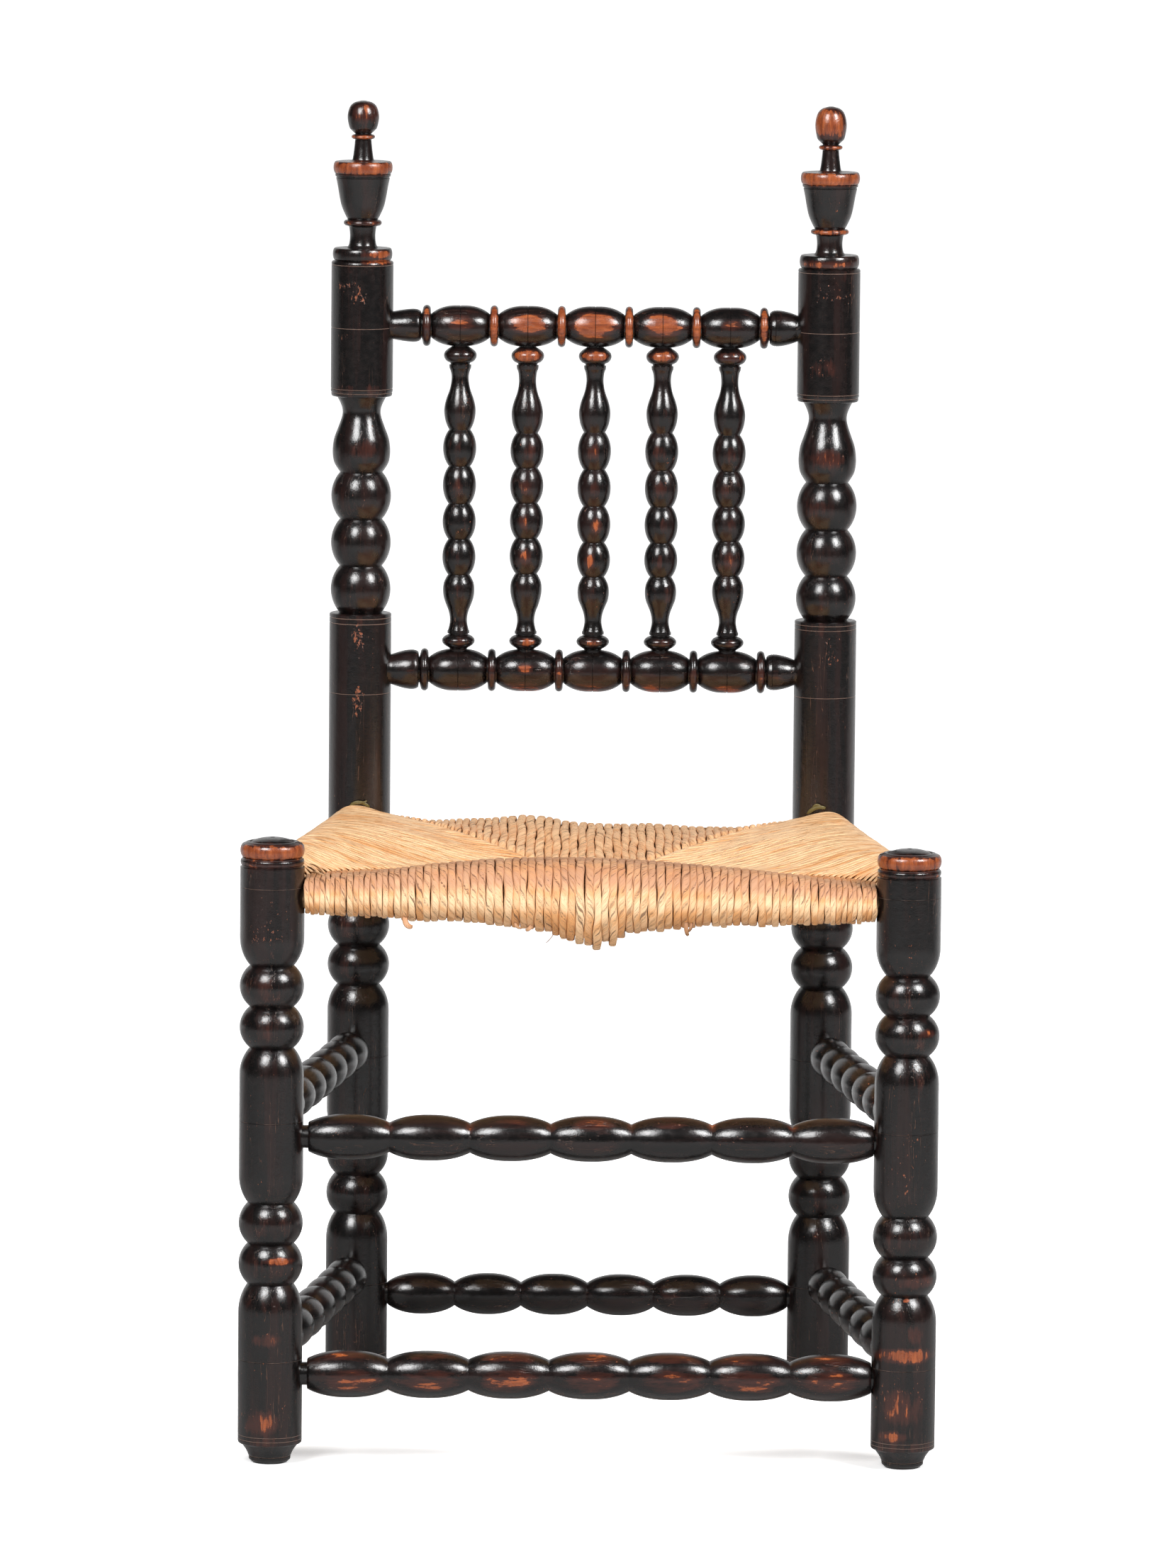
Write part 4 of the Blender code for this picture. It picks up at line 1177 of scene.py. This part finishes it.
class Recipe:
    """A new material, and short words for the nodes that it needs."""

    def __init__(self, name):
        self.material = bpy.data.materials.new(name)
        self.material.use_nodes = True
        self.tree = self.material.node_tree
        self.shader = self.tree.nodes["Principled BSDF"]

    def add(self, kind, inputs=None, output=0, **settings):
        """A new node. Each input is a value, or what another node gives."""
        node = self.tree.nodes.new("ShaderNode" + kind)
        for key, value in settings.items():
            setattr(node, key, value)
        for key, value in (inputs or {}).items():
            self.give(node.inputs[key], value)
        return node.outputs[output]

    def give(self, socket, value):
        if isinstance(value, bpy.types.NodeSocket):
            self.tree.links.new(value, socket)
        else:
            socket.default_value = value

    def attribute(self, name, vector=False):
        return self.add("Attribute", attribute_name=name, output="Vector" if vector else "Fac")

    def stretched(self, vector, scale):
        return self.add("Mapping", {"Vector": vector, "Scale": scale})

    def noise(self, vector, scale, detail=3.0, rough=0.55):
        return self.add("TexNoise", {"Vector": vector, "Scale": scale, "Detail": detail, "Roughness": rough})

    def math(self, operation, first, second=0.0):
        return self.add("Math", {0: first, 1: second}, operation=operation)

    def plus(self, first, second):
        return self.math("ADD", first, second)

    def times(self, first, second):
        return self.math("MULTIPLY", first, second)

    def off(self, value, middle):
        """How far a value is from the middle, either way."""
        return self.math("ABSOLUTE", self.math("SUBTRACT", value, middle))

    def span(self, value, low, high, start=0.0, end=1.0):
        """Start where the value is low, end where it is high, and a smooth step between."""
        inputs = {"Value": value, "From Min": low, "From Max": high, "To Min": start, "To Max": end}
        return self.add("MapRange", inputs, interpolation_type="SMOOTHSTEP")

    def mix(self, factor, first, second, mode="MIX"):
        inputs = {0: factor, 6: first, 7: second}
        return self.add("Mix", inputs, output=2, data_type="RGBA", blend_type=mode)

    def bump(self, height, strength, distance, under=None):
        inputs = {"Height": height, "Strength": strength, "Distance": distance}
        if under is not None:
            inputs["Normal"] = under
        return self.add("Bump", inputs)

    def finish(self, **sockets):
        """Join what is given to the shader's sockets, named with _ for each space."""
        for key, value in sockets.items():
            self.give(self.shader.inputs[key.replace("_", " ")], value)
        return self.material


def colour(red, green, blue):
    """A colour from its 0 to 255 screen values, as the linear values that a shader takes."""
    screen = np.array([red, green, blue]) / 255
    linear = np.where(screen <= 0.04045, screen / 12.92, ((screen + 0.055) / 1.055) ** 2.4)
    return (*linear.tolist(), 1.0)


print("straw is", [round(c, 3) for c in colour(214, 168, 112)])

# %% [markdown]
# ## Ebonised wood
# The maker stained the wood nearly black and waxed it. Two centuries of hands have rubbed the
# high turnings back to red-brown, left specks and scratches, and polished the rest to a soft
# gloss. So the recipe starts from black, adds faint streaks, then lets the wear attribute and
# noise decide together where the brown shows, with ragged edges along the grain. Where the
# flecked attribute says so, small chips gather.

# %% Ebonised wood
JET = colour(9, 7, 7)
SOOT = colour(19, 13, 12)
STREAK = colour(31, 17, 15)
RUDDY = colour(60, 29, 22)
WORN = colour(122, 56, 28)
WORN_PALE = colour(162, 84, 42)
WORN_GRAIN = colour(78, 36, 22)
CHIPPED = colour(158, 92, 62)
CRACKED = colour(120, 84, 66)
SCRIBED = colour(16, 11, 10)
# Pale fill of scribed lines: dust and wax caught in them, and a painted glint
WAX_AND_GLINT = colour(142, 118, 106)


def ebonised():
    """Black to ruddy to brown as wear plus noise grows, then chips, cracks and scribed lines,
    with a painted glint in the pale scribed lines.
    """
    r = Recipe("ebonised_wood")
    lathe = r.attribute("lathe", vector=True)
    wear = r.attribute("wear")
    mark = r.attribute("scribed")
    grain = r.noise(r.stretched(lathe, (1, 1, 0.05)), 460, 4)
    cloud = r.noise(r.stretched(lathe, (1, 1, 0.4)), 44, 3)
    ragged = r.noise(r.stretched(lathe, (1, 1, 0.2)), 210, 5, 0.68)
    dents = r.noise(lathe, 230, 3, 0.6)
    pits = r.noise(lathe, 900, 3, 0.6)
    edge = r.plus(r.times(cloud, 0.7), r.times(ragged, 0.9))
    rubbed = r.plus(r.plus(wear, edge), -0.275)
    worn = r.span(rubbed, 1.0, 1.08)
    ruddy = r.span(rubbed, 0.7, 1.0)

    flakes = r.noise(r.stretched(lathe, (1, 1, 0.6)), 400, 6, 0.72)
    where = r.plus(r.noise(lathe, 23, 2), r.times(r.attribute("flecked"), 0.45))
    chips = r.span(r.plus(flakes, r.times(where, 0.3)), 0.83, 0.87)
    lines = r.noise(r.stretched(lathe, (1, 1, 0.06)), 170, 3, 0.5)
    cracks = r.times(r.span(r.off(lines, 0.53), 0.005, 0.0), r.span(cloud, 0.5, 0.6))

    streaks = r.noise(r.stretched(lathe, (1, 1, 0.06)), 90, 3, 0.6)
    black = r.mix(r.span(dents, 0.4, 0.65), JET, SOOT)
    black = r.mix(r.span(streaks, 0.45, 0.65), black, STREAK)
    base = r.mix(ruddy, black, RUDDY)
    brown = r.mix(r.span(ragged, 0.36, 0.66), WORN, WORN_PALE)
    brown = r.mix(r.span(grain, 0.46, 0.64, 0, 0.45), brown, WORN_GRAIN)
    base = r.mix(worn, base, brown)
    base = r.mix(r.times(chips, 0.75), base, CHIPPED)
    base = r.mix(r.times(cracks, 0.6), base, CRACKED)
    base = r.mix(r.span(mark, 0.0, 1.0, 0, 0.75), base, SCRIBED)
    # Pale scribed lines: dust and wax caught in them, and a painted glint
    wax_and_glint = r.span(r.plus(mark, r.times(streaks, -0.6)), -0.9, -1.25)
    base = r.mix(wax_and_glint, base, WAX_AND_GLINT)
    rough = r.plus(r.span(ragged, 0.3, 0.7, 0.34, 0.42), r.times(worn, 0.08))
    coat_rough = r.plus(r.span(dents, 0.35, 0.65, 0.1, 0.21), r.times(worn, 0.08))
    low = r.bump(cloud, 0.4, 0.0012)
    mid = r.bump(dents, 0.1, 0.001, low)
    high = r.bump(r.plus(r.times(grain, 0.3), pits), 0.34, 0.0003, mid)
    nicks = r.bump(r.plus(chips, cracks), 0.4, -0.0002, high)
    return r.finish(
        Base_Color=base, Roughness=rough, Normal=nicks, Coat_Normal=nicks, Coat_Weight=1.0,
        Coat_Roughness=coat_rough, Coat_IOR=1.56, Specular_IOR_Level=0.14,
    )


ebony = ebonised()
for piece in wooden:
    piece.data.materials.append(ebony)
print("ebonised pieces:", len(wooden))

# %% [markdown]
# ## Bare wood
# The seat rails never saw the stain, and only their ends could ever be glimpsed. They are the
# CAD's own solids, so their finish reads object coordinates.

# %% Bare wood
BARE = colour(150, 118, 80)
BARE_RINGS = colour(122, 90, 60)
BARE_GRAIN = colour(92, 66, 44)


def bare():
    """Plain wood with faint rings and darker grain along each rail."""
    r = Recipe("bare_wood")
    place = r.add("TexCoord", output="Object")
    grain = r.noise(r.stretched(place, (0.2, 0.2, 1)), 320, 4)
    rings = r.noise(place, 45, 3)
    tone = r.mix(r.span(rings, 0.3, 0.7), BARE, BARE_RINGS)
    tone = r.mix(r.span(grain, 0.4, 0.65, 0, 0.6), tone, BARE_GRAIN)
    return r.finish(Base_Color=tone, Roughness=0.7, Normal=r.bump(grain, 0.3, 0.0005))


bare_wood = bare()
for side in PANELS:
    rail = frame["nodes"]["seat_rail_" + side]
    rail.data.materials.clear()
    rail.data.materials.append(bare_wood)
print("bare rails:", len(PANELS))

# %% [markdown]
# ## Rush
# Dry rush is pale straw with a satin skin, finely ribbed along its length. Twisted, the ribs run
# round the strand, which the fibre attribute follows. Dust and hands have dulled the crest, the
# face below it and the run behind it are more golden, and deep between the strands a painted
# shade darkens the rush to brown. A line of painted shade follows each valley between the lobes,
# where cos(3 a), worked out as 4 cos^3 a - 3 cos a, is close to -1.

# %% Rush
STRAW = colour(228, 162, 100)
PALE_STRAW = colour(247, 205, 157)
GOLDEN = colour(210, 130, 70)
PAINTED_SHEEN = colour(254, 226, 186)
DUSTY = colour(194, 145, 112)
RIB = colour(184, 122, 68)
FIBRE = colour(204, 140, 80)
DARK_FIBRE = colour(124, 76, 42)
CREASE_SHADE = colour(126, 78, 44)
VALLEY_SHADE = colour(112, 68, 38)
SLIT_SHADE = colour(96, 56, 30)
SPECK = colour(116, 70, 42)
LEAF = colour(98, 86, 38)
PAINTED_SHADE_BROWN = colour(88, 52, 28)
SHREDS = colour(70, 44, 24)
SHREDS_PALE = colour(128, 88, 50)


def rush():
    """Straw, then gold, a painted sheen, dust, ribs, single fibres, specks, and painted shade in
    creases, valleys, slits and between the strands.
    """
    r = Recipe("rush")
    fibre = r.attribute("fibre", vector=True)
    tone = r.attribute("tone")
    under = r.attribute("under")
    dust = r.attribute("dust")
    gold_and_sheen = r.attribute("gold_and_sheen")
    place = r.add("TexCoord", output="Object")
    ribs = r.noise(r.stretched(fibre, (1, 1, 0.03)), 1500, 3, 0.6)
    folds = r.noise(r.stretched(fibre, (1, 1, 0.05)), 430, 2, 0.5)
    fold = r.attribute("fold")
    creases = r.times(r.span(r.off(folds, 0.5), 0.016, 0.003), fold)
    slits = r.times(r.span(folds, 0.64, 0.69), fold)
    blotch = r.noise(r.stretched(fibre, (1, 1, 0.3)), 150, 3)
    patch = r.noise(place, 34, 3)
    specks = r.noise(fibre, 620, 2)
    mixed = r.plus(r.times(tone, 0.35), r.times(blotch, 0.8))
    base = r.mix(r.span(mixed, 0.42, 0.72), STRAW, PALE_STRAW)
    golden = r.times(gold_and_sheen, r.span(blotch, 0.38, 0.62, 0.2, 1.0))
    base = r.mix(golden, base, GOLDEN)
    # Painted sheen: paler straw where the gold value is negative
    base = r.mix(r.span(gold_and_sheen, 0.0, -1.0, 0, 0.4), base, PAINTED_SHEEN)
    dusty = r.times(dust, r.span(r.plus(patch, blotch), 0.75, 1.1, 0.6, 1.0))
    base = r.mix(r.times(dusty, 0.9), base, DUSTY)
    base = r.mix(r.span(ribs, 0.5, 0.7, 0, 0.5), base, RIB)
    straws = r.noise(r.stretched(fibre, (1, 1, 0.12)), 520, 3, 0.6)
    shown = r.span(fold, 0.4, 1.0, 1.0, 0.4)
    base = r.mix(r.times(shown, r.span(straws, 0.53, 0.62, 0, 0.7)), base, FIBRE)
    base = r.mix(r.times(shown, r.span(straws, 0.635, 0.67, 0, 0.6)), base, DARK_FIBRE)
    lobe = r.add("SeparateXYZ", {"Vector": r.attribute("twist", vector=True)}, output="X")
    turned_by = r.plus(lobe, r.times(r.math("SUBTRACT", blotch, 0.5), 0.5))
    square = r.times(turned_by, turned_by)
    thrice = r.times(turned_by, r.math("SUBTRACT", r.times(square, 4.0), 3.0))
    valley = r.times(r.span(thrice, -0.9, -0.985), r.times(fold, r.span(specks, 0.3, 0.55)))
    # Painted shade in the creases
    base = r.mix(r.times(creases, 0.35), base, CREASE_SHADE)
    # Painted shade along each valley between the lobes
    base = r.mix(r.times(valley, r.span(dust, 0.0, 1.0, 0.5, 0.85)), base, VALLEY_SHADE)
    # Painted shade in the slits
    base = r.mix(r.times(slits, 0.75), base, SLIT_SHADE)
    base = r.mix(r.span(specks, 0.7, 0.76, 0, 0.7), base, SPECK)
    base = r.mix(r.attribute("leaf"), base, LEAF)
    # Painted shade between the strands, darkest deep between them
    base = r.mix(r.span(under, 0.35, 1.0, 0, 0.85), base, PAINTED_SHADE_BROWN)
    rough = r.span(ribs, 0.3, 0.7, 0.38, 0.56)
    rough = r.plus(rough, r.times(dusty, 0.2))
    low = r.bump(r.plus(r.plus(creases, slits), valley), 0.5, -0.0004)
    high = r.bump(ribs, 0.4, 0.0003, low)
    return r.finish(Base_Color=base, Roughness=rough, Normal=high, Specular_IOR_Level=0.65)


def packed_rush():
    """Dark broken rush, drawn out from front to back."""
    r = Recipe("rush_packing")
    place = r.add("TexCoord", output="Object")
    shreds = r.noise(r.stretched(place, (1, 0.2, 1)), 700, 3)
    tone = r.mix(r.span(shreds, 0.35, 0.65), SHREDS, SHREDS_PALE)
    return r.finish(Base_Color=tone, Roughness=0.85, Normal=r.bump(shreds, 0.6, 0.001))


straw = rush()
for piece in rushes:
    piece.data.materials.append(straw)
stuffing.data.materials.append(packed_rush())
print("rush pieces:", len(rushes) + 1)

# %% [markdown]
# ## The floor
# The chair stands on a pale sweep that rises behind it. To the camera it glows white except close
# to the feet, where the glow dims into a painted shadow that the real shadow deepens, so no lamp
# has to be so strong that it would bleach the chair. The polished wood mirrors a darker floor,
# which brightens towards the back of the sweep.

# %% Floor
FLOOR_SIZE = 60.0
WALL_HEIGHT = 25.0
FLOOR_PALE = (0.8, 0.8, 0.8, 1)
FLOOR_MIRRORED = (0.4, 0.4, 0.4, 1)
# Middles of the painted shadows by the feet
FRONT_FOOT = (FRONT_WIDTH / 2 - 0.02, DEPTH / 2 - 0.01, 0)
BACK_FOOT = (BACK_WIDTH / 2 - 0.03, DEPTH / 2, 0)


def sweep():
    """The floor's glow to the camera is 1, and down to 0.45 close to a foot: a painted shadow."""
    r = Recipe("pale_floor")
    seen = r.add("LightPath", output="Is Camera Ray")
    place = r.add("TexCoord", output="Object")
    folded = r.add("VectorMath", {0: place}, operation="ABSOLUTE")
    away = r.add("VectorMath", {0: folded, 1: FRONT_FOOT}, output="Value", operation="DISTANCE")
    behind = r.add("VectorMath", {0: folded, 1: BACK_FOOT}, output="Value", operation="DISTANCE")
    mirrored = r.add("LightPath", output="Is Glossy Ray")
    r.finish(Base_Color=r.mix(mirrored, FLOOR_PALE, FLOOR_MIRRORED), Roughness=0.9)
    # Glow dimmed close to each foot: a painted shadow
    near_foot = r.math("MINIMUM", r.span(away, 0.0, 0.13), r.span(behind, 0.0, 0.16, 0.2, 1.0))
    level = r.times(seen, r.span(near_foot, 0.0, 1.0, 0.45, 1.0))
    depth = r.add("SeparateXYZ", {"Vector": place}, output="Y")
    glow_behind = r.times(mirrored, r.span(depth, 0.3, 2.0, 0.0, 0.5))
    level = r.plus(level, glow_behind)
    glow = r.add("Emission", {"Color": (1, 1, 1, 1), "Strength": level})
    both = r.add("AddShader", {0: r.shader.outputs[0], 1: glow})
    r.tree.links.new(both, r.tree.nodes["Material Output"].inputs["Surface"])
    return r.material


floor_mesh = bpy.data.meshes.new("floor")
half = FLOOR_SIZE / 2
floor_mesh.from_pydata(
    [(-half, -half, 0), (half, -half, 0), (half, half, 0), (-half, half, 0),
     (half, half, WALL_HEIGHT), (-half, half, WALL_HEIGHT)],
    [], [(0, 1, 2, 3), (3, 2, 4, 5)],
)
floor = bpy.data.objects.new("floor", floor_mesh)
bpy.context.scene.collection.objects.link(floor)
floor_mesh.materials.append(sweep())
print("floor:", FLOOR_SIZE, "m across")

# %% [markdown]
# ## The light
# Two soft windows stand in front, one at each side, and put the paired highlights on every bead.
# The world is white to the camera, and gives only a little light to the chair's own surfaces.

# %% Lights
WORLD_LIGHT = {"Is Camera Ray": 1.0, "Is Diffuse Ray": 0.17, "Is Glossy Ray": 0.05}


def softbox(name, place, aim, width, height, power):
    """A soft window that looks from its place to what it lights."""
    data = bpy.data.lights.new(name, "AREA")
    data.shape = "RECTANGLE"
    data.size = width
    data.size_y = height
    data.energy = power
    lamp = bpy.data.objects.new(name, data)
    lamp.location = place
    lamp.rotation_euler = (Vector(aim) - Vector(place)).to_track_quat("-Z", "Y").to_euler()
    bpy.context.scene.collection.objects.link(lamp)
    return lamp


softbox("window_left", (-1.75, -2.85, 3.1), (0, 0, 0.5), 1.6, 1.8, 150)
softbox("window_right", (2.35, -2.0, 2.9), (0, 0, 0.5), 1.2, 1.5, 132)

world = bpy.data.worlds.new("studio")
bpy.context.scene.world = world
world.use_nodes = True
tree = world.node_tree
background = tree.nodes["Background"]
path = tree.nodes.new("ShaderNodeLightPath")
level = None
for ray, strength in WORLD_LIGHT.items():
    share = tree.nodes.new("ShaderNodeMath")
    share.operation = "MULTIPLY_ADD"
    share.inputs[1].default_value = strength
    share.inputs[2].default_value = 0
    tree.links.new(path.outputs[ray], share.inputs[0])
    if level is not None:
        tree.links.new(level, share.inputs[2])
    level = share.outputs[0]
tree.links.new(level, background.inputs["Strength"])
background.inputs["Color"].default_value = (1, 1, 1, 1)
